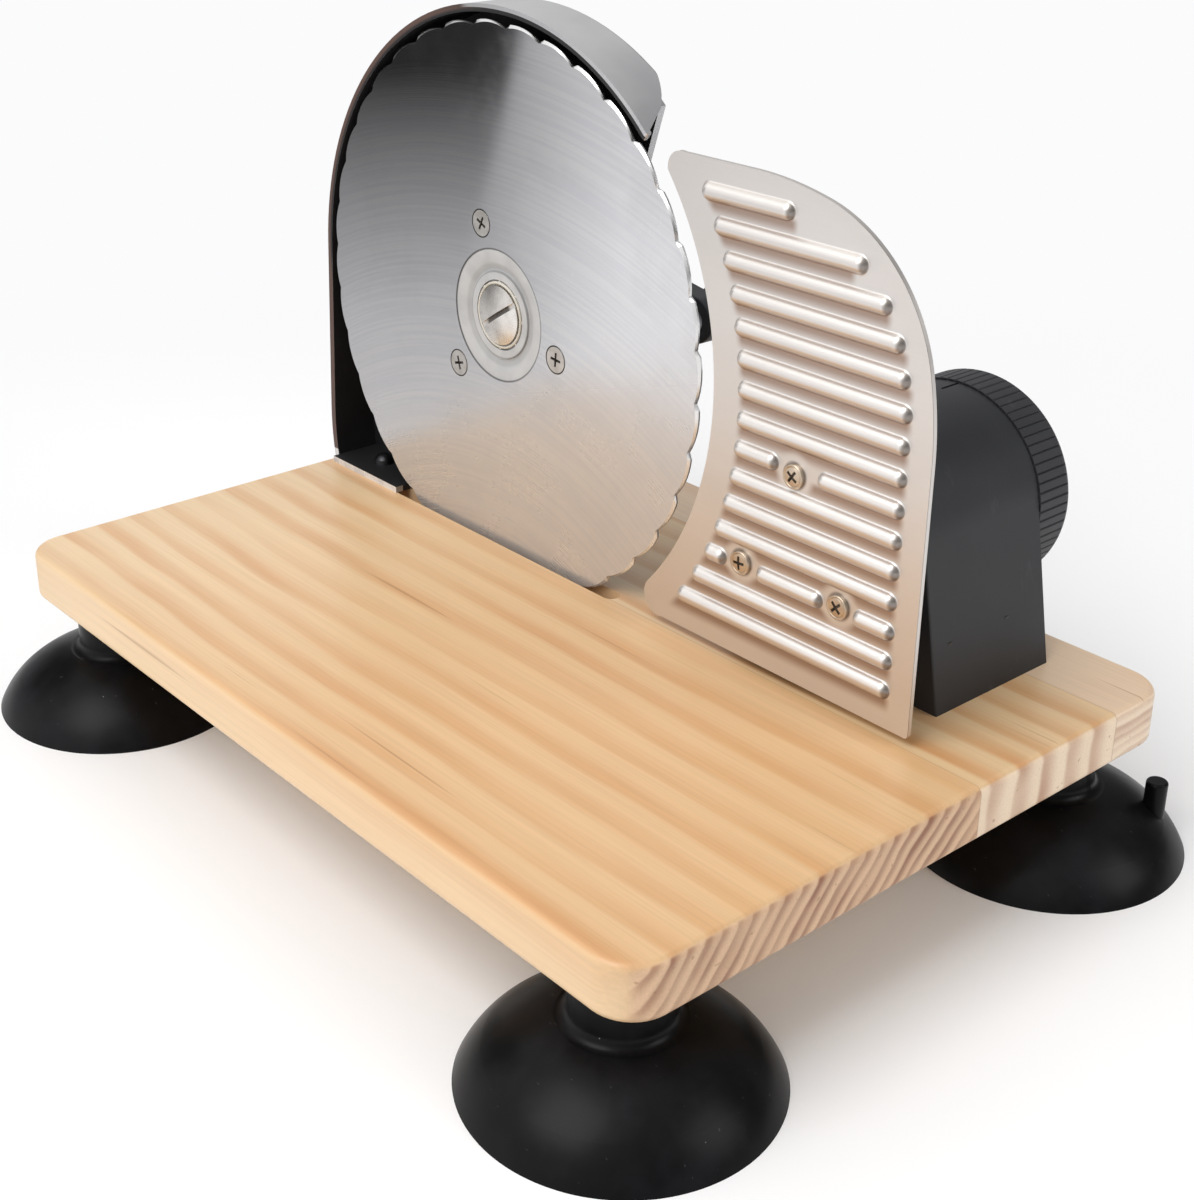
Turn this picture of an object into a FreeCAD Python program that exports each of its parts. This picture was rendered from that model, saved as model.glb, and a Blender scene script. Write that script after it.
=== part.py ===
import FreeCAD, Part
import math
import os
import Sketcher
from FreeCAD import Placement, Rotation, Vector

# A hand crank bread slicer: a wooden board on four suction cups, a round blade in a
# half hood, and a ribbed fence that a cam knob moves to set the slice thickness.
# X runs from the bread side to the crank side, Y along the board, Z is up.
# The origin lies on the table under the middle of the board.

SIZES = {
    # board
    "board_width": 218.0,
    "board_length": 312.0,
    "board_thickness": 17.0,
    "board_corner": 13.0,
    "board_edge": 2.3,
    "slot_front": 2.4,
    "slot_back": 3.6,
    "slot_near": 60.3,
    "slot_far": 66.0,
    # suction cups
    "cup_rim": 86.0,
    "cup_neck": 28.0,
    "cup_height": 38.0,
    "cup_skirt": 19.8,
    "cup_hollow": 12.0,
    "cup_inset_x": 21.5,
    "cup_inset_y": 25.0,
    "tab_diameter": 6.6,
    "tab_top": 22.4,
    "stud_diameter": 6.0,
    "stud_length": 26.0,
    # blade
    "blade_diameter": 190.0,
    "blade_thickness": 1.2,
    "blade_bevel": 1.05,
    "blade_edge": 0.6,
    "blade_teeth": 36.0,
    "tooth_depth": 1.4,
    "tooth_crown": 0.3,
    "tooth_phase": 3.1,
    "blade_plane": 20.5,
    "blade_axis_y": 53.0,
    "blade_axis_height": 81.3,
    "blade_hole": 44.6,
    # drive
    "gear_module": 1.25,
    "ring_teeth": 36.0,
    "pinion_teeth": 12.0,
    "crank_direction": 60.0,
    "gear_radius": 36.0,
    "gear_web": 3.3,
    "gear_depth": 12.6,
    "gear_backlash": 0.14,
    "axle_diameter": 7.0,
    "axle_head": 20.0,
    "axle_slot": 1.7,
    "washer_diameter": 22.7,
    "washer_thickness": 1.0,
    "shaft_diameter": 8.0,
    "bush_diameter": 12.0,
    "blade_screw_circle": 30.7,
    "blade_screw_phase": 74.5,
    # hood
    "hood_radius": 100.0,
    "hood_wall": 2.5,
    "hood_depth": 20.0,
    "hood_front_end": 134.8,
    "hood_back_end": 126.0,
    "hood_lean": 2.7,
    "hood_run": 65.0,
    "hood_foot_bend": 95.0,
    "hood_back_slope": 0.329,
    "hood_foot_reach": 30.0,
    "hood_gear_cover": 5.5,
    "hood_boss": 19.0,
    "hood_boss_depth": 11.0,
    "hood_edge": 1.6,
    "hood_flange": 2.3,
    # crank
    "crank_radius": 67.1,
    "crank_turn": 185.8,
    "arm_hub": 12.0,
    "arm_end": 7.7,
    "arm_thickness": 8.0,
    "arm_gap": 1.0,
    "grip_length": 68.0,
    "grip_diameter": 23.0,
    "spindle_diameter": 8.0,
    # fence
    "plate_thickness": 1.5,
    "plate_lift": 3.0,
    "plate_top": 150.5,
    "plate_end": 182.7,
    "plate_hollow": 102.7,
    "rib_pitch": 9.06,
    "rib_first": 14.6,
    "rib_half_width": 2.65,
    "rib_height": 2.2,
    "rib_start": 113.0,
    "rib_end": 175.2,
    "fence_travel": 15.0,
    # carriage, housing and knob
    "knob_y": 134.5,
    "knob_height": 45.0,
    "knob_diameter": 67.6,
    "knob_depth": 16.0,
    "knob_grooves": 72.0,
    "knob_groove_depth": 0.45,
    "knob_groove_width": 0.8,
    "knob_rounding": 3.5,
    "drum_diameter": 20.0,
    "knob_swing": 300.0,
    "cam_spare": 22.5,
    "cam_width": 4.6,
    "cam_depth": 2.6,
    "follower_diameter": 3.8,
    "follower_place": 37.0,
    "carriage_radius": 27.7,
    "carriage_foot": 20.0,
    "carriage_wall": 2.5,
    "carriage_face": 3.5,
    "carriage_length": 42.0,
    "sleeve_radius": 14.0,
    "housing_start": 19.0,
    "housing_length": 52.0,
    "housing_radius": 33.2,
    "housing_draft": 10.5,
    "housing_wall": 3.0,
    # fits
    "running_fit": 0.1,
    "seat_fit": 0.03,
    "guide_gap": 0.3,
}

doc = FreeCAD.newDocument("bread_slicer")
sheet = doc.addObject("Spreadsheet::Sheet", "dims")


class Size:
    """A number together with the sheet expression that it comes from."""

    def __init__(self, text, value):
        self.text = text
        self.value = value

    def __float__(self):
        return self.value

    def __add__(self, other):
        other = as_size(other)
        return Size("(%s + %s)" % (self.text, other.text), self.value + other.value)

    def __sub__(self, other):
        other = as_size(other)
        return Size("(%s - %s)" % (self.text, other.text), self.value - other.value)

    def __mul__(self, other):
        other = as_size(other)
        return Size("(%s * %s)" % (self.text, other.text), self.value * other.value)

    def __truediv__(self, other):
        other = as_size(other)
        return Size("(%s / %s)" % (self.text, other.text), self.value / other.value)

    def __radd__(self, other):
        return as_size(other) + self

    def __rsub__(self, other):
        return as_size(other) - self

    def __rmul__(self, other):
        return as_size(other) * self

    def __neg__(self):
        return 0 - self


def as_size(thing):
    if isinstance(thing, Size):
        return thing
    return Size("(%.6f)" % thing, float(thing))


def fill_sheet():
    """Write every driving size into the sheet and give it back as a bound number."""
    bound = {}
    for row, (name, value) in enumerate(SIZES.items(), start=1):
        sheet.set("A%d" % row, name)
        sheet.set("B%d" % row, str(value))
        sheet.setAlias("B%d" % row, name)
        bound[name] = Size("dims." + name, value)
    doc.recompute()
    return bound


class Values:
    """The driving sizes by name."""

    def __init__(self, table):
        self.__dict__.update(table)


v = Values(fill_sheet())

# places worked out from the driving sizes
board_top = v.cup_height + v.board_thickness
blade_z = board_top + v.blade_axis_height
blade_radius = v.blade_diameter / 2
shaft_radius = v.shaft_diameter / 2
gear_offset = v.gear_module * (v.ring_teeth - v.pinion_teeth) / 2
crank_angle = math.radians(float(v.crank_direction))
crank_y = v.blade_axis_y + gear_offset * math.cos(crank_angle)
crank_z = blade_z + gear_offset * math.sin(crank_angle)
arm_start = v.hood_depth + v.hood_boss_depth + v.arm_gap
arm_stop = arm_start + v.arm_thickness
knob_y = v.blade_axis_y - v.knob_y
knob_z = board_top + v.knob_height
housing_stop = v.housing_start + v.housing_length
drum_radius = v.drum_diameter / 2

# screws: radii of shanks and heads, lengths and places
BLADE_SCREWS = 3
BLADE_SCREW_SHANK = 2.0
BLADE_SCREW_HEAD = 4.35
FENCE_SCREWS = ((-135.8, 67.2), (-116.9, 33.8), (-155.0, 33.6))
FENCE_SCREW_SHANK = 1.6
FENCE_SCREW_HEAD = 3.75
FENCE_SCREW_LENGTH = 11.0
WOOD_SCREW_SHANK = 2.0
WOOD_SCREW_GRIP = 12.0
HOOD_SCREW_HEAD = 3.9
HOUSING_SCREW_HEAD = 4.2
HOUSING_SCREW_HEAD_HEIGHT = 2.4
FLANGE_SCREW = (8.4, 81.0)
FOOT_SCREW_OUT = 12.0
FOOT_SCREWS_Y = (-18.0, 82.0)
HOUSING_SCREWS_IN = (8.0, 18.0)
HOUSING_SCREW_SIDE = 34.0

# axle, crank shaft and their seats
AXLE_SHOULDER = 1.3
AXLE_THREAD = 2.5
AXLE_THREAD_LENGTH = 11.5
SHAFT_COLLAR = 5.6
SHAFT_FLAT = 3.2
SEAT_GAP = 0.05
OVERLAP = 0.5
axle_seat = v.blade_thickness + v.gear_depth + AXLE_SHOULDER + SEAT_GAP

# forms: the teeth by share of their pitch, the hood's corner and foot, the ribs
TOOTH_STEP = 0.11
TOOTH_TOP = 0.45
HOOD_CORNER = 9.0
FOOT_WIDTH = 23.0
FOOT_NEAR = -30.0
FOOT_FAR = 94.0
GUSSETS_Y = (0.0, 64.0)
GUSSET_REACH = 18.0
GUSSET_RISE = 34.0
GUSSET_WIDTH = 3.0
RIBS = 15
RIB_WALL = 1.0
RIB_ROOT = 0.6
SHORT_RIBS = {10: 173.7, 11: 171.0, 12: 165.8, 13: 156.8, 14: 130.5}
RIB_BREAKS = {6: [(129.5, 144.8)], 2: [(110.8, 123.6), (149.1, 160.8)]}
CARRIAGE_WEB = 3.0
CARRIAGE_BOSS = 9.5
HOUSING_BOSS = 4.6
HOUSING_BOSS_HEIGHT = 20.0
MARK_LENGTH = 8.0
MARK_WIDTH = 1.0

parts = []


def bind(thing, path, size):
    thing.setExpression(path, as_size(size).text)


def place(thing, x, y, z, rotation=None):
    thing.Placement = Placement(Vector(float(x), float(y), float(z)), rotation or Rotation())
    bind(thing, "Placement.Base.x", x)
    bind(thing, "Placement.Base.y", y)
    bind(thing, "Placement.Base.z", z)


def new_body(label, x=0.0, y=0.0, z=0.0, rotation=None, kept=True):
    """A body with its own place; every kept one becomes a sub-part of that name."""
    body = doc.addObject("PartDesign::Body", label)
    body.Label = label
    place(body, x, y, z, rotation)
    if kept:
        parts.append(body)
    return body


def origin_item(body, role):
    return next(item for item in body.Origin.OriginFeatures if item.Role == role)


def new_sketch(body, plane, offset=0.0, turn=None):
    """A sketch on one of the body's own origin planes, moved along its normal."""
    sketch = body.newObject("Sketcher::SketchObject", "sketch")
    sketch.AttachmentSupport = [(origin_item(body, plane), "")]
    sketch.MapMode = "FlatFace"
    if turn is None:
        bind(sketch, "AttachmentOffset.Base.z", offset)
    else:
        sketch.AttachmentOffset = Placement(turn.multVec(Vector(0, 0, float(offset))), turn)
    return sketch


def pin_point(sketch, item, point, u, w):
    """Hold one point of the sketch at bound distances from its origin."""
    for kind, size in (("DistanceX", u), ("DistanceY", w)):
        number = sketch.addConstraint(Sketcher.Constraint(kind, -1, 1, item, point, float(size)))
        bind(sketch, "Constraints[%d]" % number, size)


def circle(sketch, u, w, radius):
    centre = Vector(float(u), float(w), 0)
    item = sketch.addGeometry(Part.Circle(centre, Vector(0, 0, 1), float(radius)))
    pin_point(sketch, item, 3, u, w)
    number = sketch.addConstraint(Sketcher.Constraint("Radius", item, float(radius)))
    bind(sketch, "Constraints[%d]" % number, radius)


def rectangle(sketch, u0, w0, u1, w1):
    low = (float(u0), float(w0))
    high = (float(u1), float(w1))
    corners = [low, (high[0], low[1]), high, (low[0], high[1])]
    items = []
    for index, corner in enumerate(corners):
        following = corners[(index + 1) % 4]
        line = Part.LineSegment(Vector(*corner, 0), Vector(*following, 0))
        items.append(sketch.addGeometry(line))
    for index in range(4):
        joint = Sketcher.Constraint("Coincident", items[index], 2, items[(index + 1) % 4], 1)
        sketch.addConstraint(joint)
        kind = ("Horizontal", "Vertical")[index % 2]
        sketch.addConstraint(Sketcher.Constraint(kind, items[index]))
    pin_point(sketch, items[0], 1, u0, w0)
    pin_point(sketch, items[2], 1, u1, w1)


def arc_through(first, middle, last):
    """An arc through three points, always turning the way that sketches keep arcs."""
    arc = Part.Arc(first, middle, last)
    ring = arc.toShape().Curve
    centre = ring.Center
    ends = [math.atan2(point.y - centre.y, point.x - centre.x) for point in (first, last)]
    turn = (middle - first).cross(last - middle).z
    if turn < 0:
        ends.reverse()
    return Part.ArcOfCircle(Part.Circle(centre, Vector(0, 0, 1), ring.Radius), ends[0], ends[1])


def outline(sketch, steps):
    """A closed outline: two numbers are a corner, four are an arc through a point to an end."""
    start = Vector(float(steps[0][0]), float(steps[0][1]), 0)
    here = start
    for step in steps[1:] + [steps[0]]:
        numbers = [float(number) for number in step]
        there = Vector(numbers[-2], numbers[-1], 0)
        if len(numbers) == 4:
            sketch.addGeometry(arc_through(here, Vector(numbers[0], numbers[1], 0), there))
        elif here.distanceToPoint(there) > 1e-6:
            sketch.addGeometry(Part.LineSegment(here, there))
        here = there


def pad(body, sketch, length, along=True, midplane=False):
    feature = body.newObject("PartDesign::Pad", "pad")
    feature.Profile = sketch
    feature.Reversed = not along
    if midplane:
        feature.SideType = "Symmetric"
    bind(feature, "Length", length)
    return feature


def pocket(body, sketch, length, along=False):
    """Cut the sketch into the body, and make sure that something was cut."""
    doc.recompute()
    before = body.Shape.Volume
    feature = body.newObject("PartDesign::Pocket", "pocket")
    feature.Profile = sketch
    feature.Reversed = along
    bind(feature, "Length", length)
    doc.recompute()
    if body.Shape.Volume > before - 1e-3:
        raise ValueError("a pocket of %s cuts nothing" % body.Label)
    return feature


def turned(body, steps, plane="XZ_Plane", axis="H_Axis", kind="PartDesign::Revolution"):
    """A solid of revolution about the body's X axis (H_Axis) or Z axis (V_Axis)."""
    sketch = new_sketch(body, plane)
    outline(sketch, steps)
    feature = body.newObject(kind, "turned")
    feature.Profile = sketch
    feature.ReferenceAxis = (sketch, [axis])
    feature.Angle = 360
    return feature


def dome(rim, radius, rise):
    """A ball cap on the axis, from its rim to its tip: the tip, and a point of the arc."""
    ball = (radius ** 2 + rise ** 2) / (2 * abs(rise))
    sag = ball - math.sqrt(ball ** 2 - radius ** 2 / 4)
    tip = rim + rise
    return (tip, 0.0), (tip - math.copysign(sag, rise), radius / 2)


def repeat_round(body, feature, axis, count):
    pattern = body.newObject("PartDesign::PolarPattern", "pattern")
    pattern.Originals = [feature]
    pattern.Axis = (origin_item(body, axis), [""])
    pattern.Angle = 360
    bind(pattern, "Occurrences", count)
    body.Tip = pattern
    return pattern


def fillet(body, radius, wanted):
    """Round the edges of the body so far that the given test wants."""
    doc.recompute()
    base = body.Tip
    names = ["Edge%d" % number for number, edge in enumerate(base.Shape.Edges, 1) if wanted(edge)]
    feature = body.newObject("PartDesign::Fillet", "rounding")
    feature.Base = (base, names)
    bind(feature, "Radius", radius)
    return feature


def polar(radius, degrees):
    angle = math.radians(float(degrees))
    return float(radius) * math.cos(angle), float(radius) * math.sin(angle)


def group(label, template, placements):
    """Equal fasteners of one kind: copies of one body's solid at several places."""
    doc.recompute()
    copies = []
    for placement in placements:
        copy = template.Shape.copy()
        copy.Placement = placement.multiply(copy.Placement)
        copies.append(copy)
    feature = doc.addObject("Part::Feature", label)
    feature.Label = label
    feature.Shape = Part.makeCompound(copies)
    parts.append(feature)


def moved(x, y, z, rotation=None):
    return Placement(Vector(float(x), float(y), float(z)), rotation or Rotation())


def ends_at(edge, axis, value, tolerance=1e-3):
    """Whether the whole edge lies in the plane where that coordinate has that value."""
    points = [vertex.Point for vertex in edge.Vertexes] + [edge.CenterOfMass]
    return all(abs(point[axis] - float(value)) < tolerance for point in points)


# Board

def cup_places():
    """Cup centres with the direction that each release tab points in."""
    side = v.board_width / 2 - v.cup_inset_x
    end = v.board_length / 2 - v.cup_inset_y
    return {
        "cup_near_left": (-side, -end, 50.0),
        "cup_near_right": (side, -end, -51.0),
        "cup_far_left": (-side, end, -50.0),
        "cup_far_right": (side, end, 130.0),
    }


def hood_screw_places():
    """Hood screws: one on the front flange, two on the rear foot."""
    spots = [(v.blade_plane + FLANGE_SCREW[0], v.blade_axis_y + FLANGE_SCREW[1])]
    for y in FOOT_SCREWS_Y:
        spots.append((v.blade_plane + v.hood_depth + FOOT_SCREW_OUT, v.blade_axis_y + y))
    return spots


def housing_screw_places():
    """Housing screws: two on each side, set in from the ends to clear the cup below."""
    spots = []
    for x in (v.housing_start + HOUSING_SCREWS_IN[0], housing_stop - HOUSING_SCREWS_IN[1]):
        for side in (-1, 1):
            spots.append((v.blade_plane + x, knob_y + side * HOUSING_SCREW_SIDE))
    return spots


def make_board():
    body = new_body("base_board", 0.0, 0.0, v.cup_height)
    half_x = v.board_width / 2
    half_y = v.board_length / 2
    sketch = new_sketch(body, "XY_Plane")
    rectangle(sketch, -half_x, -half_y, half_x, half_y)
    pad(body, sketch, v.board_thickness)
    fillet(body, v.board_corner, lambda edge: edge.Length < float(v.board_thickness) + 1e-3
           and abs(edge.tangentAt(edge.FirstParameter).z) > 0.9)
    fillet(body, v.board_edge, lambda edge: ends_at(edge, 2, 0) or
           ends_at(edge, 2, v.board_thickness))
    slot = new_sketch(body, "XY_Plane", v.board_thickness)
    front = float(v.blade_plane - v.slot_front)
    back = float(v.blade_plane + v.slot_back)
    near = float(v.blade_axis_y - v.slot_near)
    far = float(v.blade_axis_y + v.slot_far)
    radius = (back - front) / 2
    middle = (front + back) / 2
    outline(slot, [(front, far), (front, near + radius), (middle, near, back, near + radius),
                   (back, far), (middle, far + radius, front, far)])
    pocket(body, slot, v.board_thickness)
    studs = new_sketch(body, "XY_Plane")
    for x, y, _ in cup_places().values():
        circle(studs, x, y, v.stud_diameter / 2 + v.seat_fit)
    pocket(body, studs, v.stud_length / 2 + 0.5, along=True)
    through = new_sketch(body, "XY_Plane", v.board_thickness)
    for x, y in housing_screw_places():
        circle(through, x, y, WOOD_SCREW_SHANK + v.seat_fit)
    pocket(body, through, v.board_thickness)
    pilots = new_sketch(body, "XY_Plane", v.board_thickness)
    for x, y in hood_screw_places():
        circle(pilots, x, y, WOOD_SCREW_SHANK + v.seat_fit)
    pocket(body, pilots, WOOD_SCREW_GRIP + 1.0)


def stud_start():
    """Height of the lower end of a stud inside the cup's neck."""
    return v.cup_height - v.stud_length / 2


# Suction cups

def make_cup(label, x, y, tab_angle):
    """A cup turned about Z with its release tab standing on the skirt."""
    body = new_body(label, x, y, 0.0, Rotation(Vector(0, 0, 1), tab_angle))
    rim = float(v.cup_rim) / 2
    neck = float(v.cup_neck) / 2
    top = float(v.cup_height)
    skirt = float(v.cup_skirt)
    stud = float(v.stud_diameter / 2 + v.seat_fit)
    lip = rim - 2.0
    hollow = float(v.cup_hollow)
    crown = (lip ** 2 + hollow ** 2) / (2 * hollow)
    half = lip / 2
    half_height = hollow - (crown - math.sqrt(crown ** 2 - half ** 2))
    turned(body, [
        (0, hollow),
        (half, half_height, lip, 0),
        (rim, 0),
        (rim - 2.9, 0.25 * skirt, rim - 7.3, 0.5 * skirt),
        (rim - 16.5, 0.82 * skirt, neck + 3.2, skirt),
        (neck + 0.9, skirt + 0.9, neck, skirt + 3.2),
        (neck, top),
        (stud, top),
        (stud, stud_start()),
        (0, stud_start()),
    ], axis="V_Axis")
    tab_foot = 0.4 * skirt
    tab = new_sketch(body, "XY_Plane", tab_foot)
    circle(tab, rim - 10.5, 0, v.tab_diameter / 2)
    pad(body, tab, v.tab_top - tab_foot)
    fillet(body, 0.8, lambda edge: ends_at(edge, 2, v.tab_top))


def make_cups():
    for label, (x, y, angle) in cup_places().items():
        make_cup(label, x, y, angle)
    stud = new_body("stud", kept=False)
    sketch = new_sketch(stud, "XY_Plane")
    circle(sketch, 0, 0, v.stud_diameter / 2)
    pad(stud, sketch, v.stud_length)
    spots = [moved(x, y, stud_start()) for x, y, _ in cup_places().values()]
    group("cup_studs", stud, spots)


# Blade

def blade_outline(at_notch, at_tip, at_crown):
    """The scalloped rim: each tooth steps out of its notch and bows down to the next.

    The three numbers say how far the outline lies inside the cutting edge at each place.
    """
    pitch = 360.0 / float(v.blade_teeth)
    notch = float(blade_radius - v.tooth_depth) - at_notch
    tip = float(blade_radius) - at_tip
    crown = float(blade_radius + v.tooth_crown) - at_crown
    steps = [polar(notch, v.tooth_phase)]
    for number in range(int(v.blade_teeth.value)):
        angle = float(v.tooth_phase) + number * pitch
        steps.append(polar(tip, angle + TOOTH_STEP * pitch))
        steps.append(polar(crown, angle + TOOTH_TOP * pitch) + polar(notch, angle + pitch))
    return steps


def make_blade():
    body = new_body("blade", v.blade_plane, v.blade_axis_y, blade_z)
    bevel_back = v.blade_thickness - v.blade_edge
    widest = float(v.blade_bevel)
    front = new_sketch(body, "YZ_Plane")
    outline(front, blade_outline(0.2 * widest, widest, 0.65 * widest))
    rim = new_sketch(body, "YZ_Plane", bevel_back)
    outline(rim, blade_outline(0.0, 0.0, 0.0))
    bevel = body.newObject("PartDesign::AdditiveLoft", "bevel")
    bevel.Profile = front
    bevel.Sections = [rim]
    bevel.Ruled = True
    edge = new_sketch(body, "YZ_Plane", bevel_back)
    outline(edge, blade_outline(0.0, 0.0, 0.0))
    pad(body, edge, v.blade_edge)
    hole = new_sketch(body, "YZ_Plane")
    circle(hole, 0, 0, v.blade_hole / 2)
    pocket(body, hole, v.blade_thickness, along=True)
    doc.recompute()
    free_rim = BLADE_SCREW_HEAD + 0.4
    rim_depth = 0.3
    past = float(v.blade_thickness) + 0.01
    cone = BLADE_SCREW_HEAD + 0.06
    sink = turned_cut(body, [(-0.01, 0), (-0.01, free_rim), (rim_depth, free_rim),
                             (rim_depth, cone - rim_depth), (past, cone - past), (past, 0)],
                      polar(v.blade_screw_circle, v.blade_screw_phase))
    repeat_round(body, sink, "X_Axis", BLADE_SCREWS)


def turned_cut(body, steps, centre):
    """A groove turned about a line along X through the given centre."""
    distance = math.hypot(*centre)
    angle = math.degrees(math.atan2(centre[1], centre[0])) - 90.0
    sketch = new_sketch(body, "XZ_Plane", turn=Rotation(Vector(1, 0, 0), angle))
    outline(sketch, [(x, radius + distance) for x, radius in steps])
    low = min(x for x, _ in steps)
    high = max(x for x, _ in steps)
    line = sketch.addGeometry(Part.LineSegment(Vector(low, distance, 0), Vector(high, distance, 0)))
    sketch.setConstruction(line, True)
    groove = body.newObject("PartDesign::Groove", "sink")
    groove.Profile = sketch
    groove.ReferenceAxis = (sketch, ["Axis0"])
    groove.Angle = 360
    return groove


def gear_steps(teeth, inner, outer, tooth, pitch_radius):
    """A gear outline: involute flanks as arcs through three points, straight below the base."""
    base = pitch_radius * math.cos(math.radians(20.0))

    def half_angle(radius):
        pressure = math.acos(min(1.0, base / radius))
        spread = math.tan(math.radians(20.0)) - math.radians(20.0)
        roll = math.tan(pressure) - pressure
        return math.degrees(tooth / (2 * pitch_radius) + spread - roll)

    start = max(inner, base)
    middle = (start + outer) / 2
    steps = []
    for number in range(teeth):
        angle = number * 360.0 / teeth
        if start > inner:
            steps.append(polar(inner, angle - half_angle(start)))
        steps.append(polar(start, angle - half_angle(start)))
        steps.append(polar(middle, angle - half_angle(middle)) + polar(outer, angle - half_angle(outer)))
        steps.append(polar(outer, angle + half_angle(outer)))
        steps.append(polar(middle, angle + half_angle(middle)) + polar(start, angle + half_angle(start)))
        if start > inner:
            steps.append(polar(inner, angle + half_angle(start)))
    return steps


def make_blade_gear():
    """The driven gear: a dished hub that shows through the blade, a web and an inner ring."""
    body = new_body("blade_gear", v.blade_plane, v.blade_axis_y, blade_z)
    module = float(v.gear_module)
    pitch_radius = module * float(v.ring_teeth) / 2
    back = float(v.blade_thickness)
    floor = back + float(v.washer_thickness)
    web = back + float(v.gear_web)
    end = back + float(v.gear_depth)
    bore = float(v.axle_diameter / 2 + v.running_fit / 2)
    hub = float(v.blade_hole / 2 - v.seat_fit)
    recess = float(v.washer_diameter) / 2 + 0.6
    boss = recess + 2.7
    sleeve = 5.5
    sleeve_end = end + 1.2
    root = pitch_radius + 1.25 * module
    inside = root + 1.5
    outer = float(v.gear_radius)
    turned(body, [
        (floor, bore), (floor, recess), (0.7 * back, recess), (0.7 * back, boss),
        (1.25 * back, boss + 0.2), (1.25 * back, boss + 0.9),
        (0.5 * back, (boss + hub) / 2 + 0.4, 0.2, hub),
        (back, hub), (back, outer), (end, outer), (end, inside), (web, inside),
        (web, sleeve), (sleeve_end, sleeve), (sleeve_end, bore),
    ])
    ring = new_sketch(body, "YZ_Plane", web - OVERLAP)
    circle(ring, 0, 0, inside + OVERLAP)
    space = math.pi * module / 2 + float(v.gear_backlash) / 2
    outline(ring, gear_steps(int(v.ring_teeth.value), pitch_radius - module, root, space, pitch_radius))
    pad(body, ring, end - web + OVERLAP)
    holes = new_sketch(body, "YZ_Plane")
    for number in range(BLADE_SCREWS):
        y, z = polar(v.blade_screw_circle, float(v.blade_screw_phase) + 120.0 * number)
        circle(holes, y, z, BLADE_SCREW_SHANK + v.seat_fit)
    pocket(body, holes, end - 1.5, along=True)
    cone = BLADE_SCREW_HEAD + 0.06
    neck = cone - BLADE_SCREW_SHANK
    sink = turned_cut(body, [(back - 0.01, 0), (back - 0.01, cone - back + 0.01),
                             (neck, BLADE_SCREW_SHANK), (neck, 0)],
                      polar(v.blade_screw_circle, v.blade_screw_phase))
    repeat_round(body, sink, "X_Axis", BLADE_SCREWS)


def cross_recess(body, x, radius, depth):
    """A cross recess cut into a screw head that faces the -X side."""
    for turn in (0.0, 90.0):
        sketch = new_sketch(body, "YZ_Plane", x, Rotation(Vector(0, 0, 1), turn))
        rectangle(sketch, -radius, -0.45, radius, 0.45)
        pocket(body, sketch, depth, along=True)


def make_blade_screws():
    screw = new_body("blade_screw", kept=False)
    length = float(v.blade_thickness + v.gear_depth) - 3.0
    neck = BLADE_SCREW_HEAD - BLADE_SCREW_SHANK
    turned(screw, [(0, 0), (0, BLADE_SCREW_HEAD), (neck, BLADE_SCREW_SHANK),
                   (length, BLADE_SCREW_SHANK), (length, 0)])
    cross_recess(screw, 0.0, 2.4, 1.3)
    spots = []
    for number in range(BLADE_SCREWS):
        y, z = polar(v.blade_screw_circle, float(v.blade_screw_phase) + 120.0 * number)
        turn = Rotation(Vector(1, 0, 0), 25.0 + 70.0 * number)
        spots.append(moved(v.blade_plane, v.blade_axis_y + y, blade_z + z, turn))
    group("blade_screws", screw, spots)


# Axle of the blade

def make_axle():
    bolt = new_body("axle_bolt", v.blade_plane, v.blade_axis_y, blade_z)
    head = float(v.axle_head) / 2
    seat = float(v.blade_thickness)
    shank = float(v.axle_diameter) / 2
    shoulder = seat + float(v.gear_depth) + AXLE_SHOULDER
    end = shoulder + AXLE_THREAD_LENGTH
    rim = 0.3
    tip, via = dome(rim, head, -1.2)
    turned(bolt, [tip, via + (rim, head), (seat - SEAT_GAP, head), (seat - SEAT_GAP, shank),
                  (shoulder, shank), (shoulder, AXLE_THREAD), (end, AXLE_THREAD), (end, 0)])
    slot = new_sketch(bolt, "YZ_Plane", -1.0, Rotation(Vector(0, 0, 1), 147.0))
    rectangle(slot, -head - 1, -v.axle_slot / 2, head + 1, v.axle_slot / 2)
    pocket(bolt, slot, 1.6, along=True)
    washer = new_body("axle_washer", v.blade_plane, v.blade_axis_y, blade_z)
    ring = float(v.washer_diameter) / 2
    under = seat + float(v.washer_thickness) - SEAT_GAP
    lip = 0.45 * seat
    turned(washer, [(under, shank + 0.1), (under, ring), (lip + 0.3, ring),
                    (lip, ring - 0.45, lip + 0.3, ring - 0.9), (seat, ring - 0.9), (seat, shank + 0.1)])
    nub = new_sketch(washer, "YZ_Plane", lip + 0.4)
    circle(nub, ring, 0, 0.45)
    bump = pad(washer, nub, under - lip - 0.4)
    repeat_round(washer, bump, "X_Axis", 8)


# Hood

def side_steps(offset):
    """The far side of the outline: a leaning straight run, then a bend in to the foot."""
    lean = math.radians(float(v.hood_lean))
    radius = float(v.hood_radius) - offset
    bend = float(v.hood_foot_bend) - offset
    run = float(v.hood_run)
    height = float(v.blade_axis_height)
    start = (radius * math.cos(lean), radius * math.sin(lean))
    knee = (start[0] + run * math.sin(lean), start[1] - run * math.cos(lean))
    centre = (knee[0] - bend * math.cos(lean), knee[1] - bend * math.sin(lean))
    low = math.asin((-height - centre[1]) / bend)
    middle = (lean + low) / 2
    via = (centre[0] + bend * math.cos(middle), centre[1] + bend * math.sin(middle))
    foot = (centre[0] + bend * math.cos(low), -height)
    return start, knee, via, foot


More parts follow.
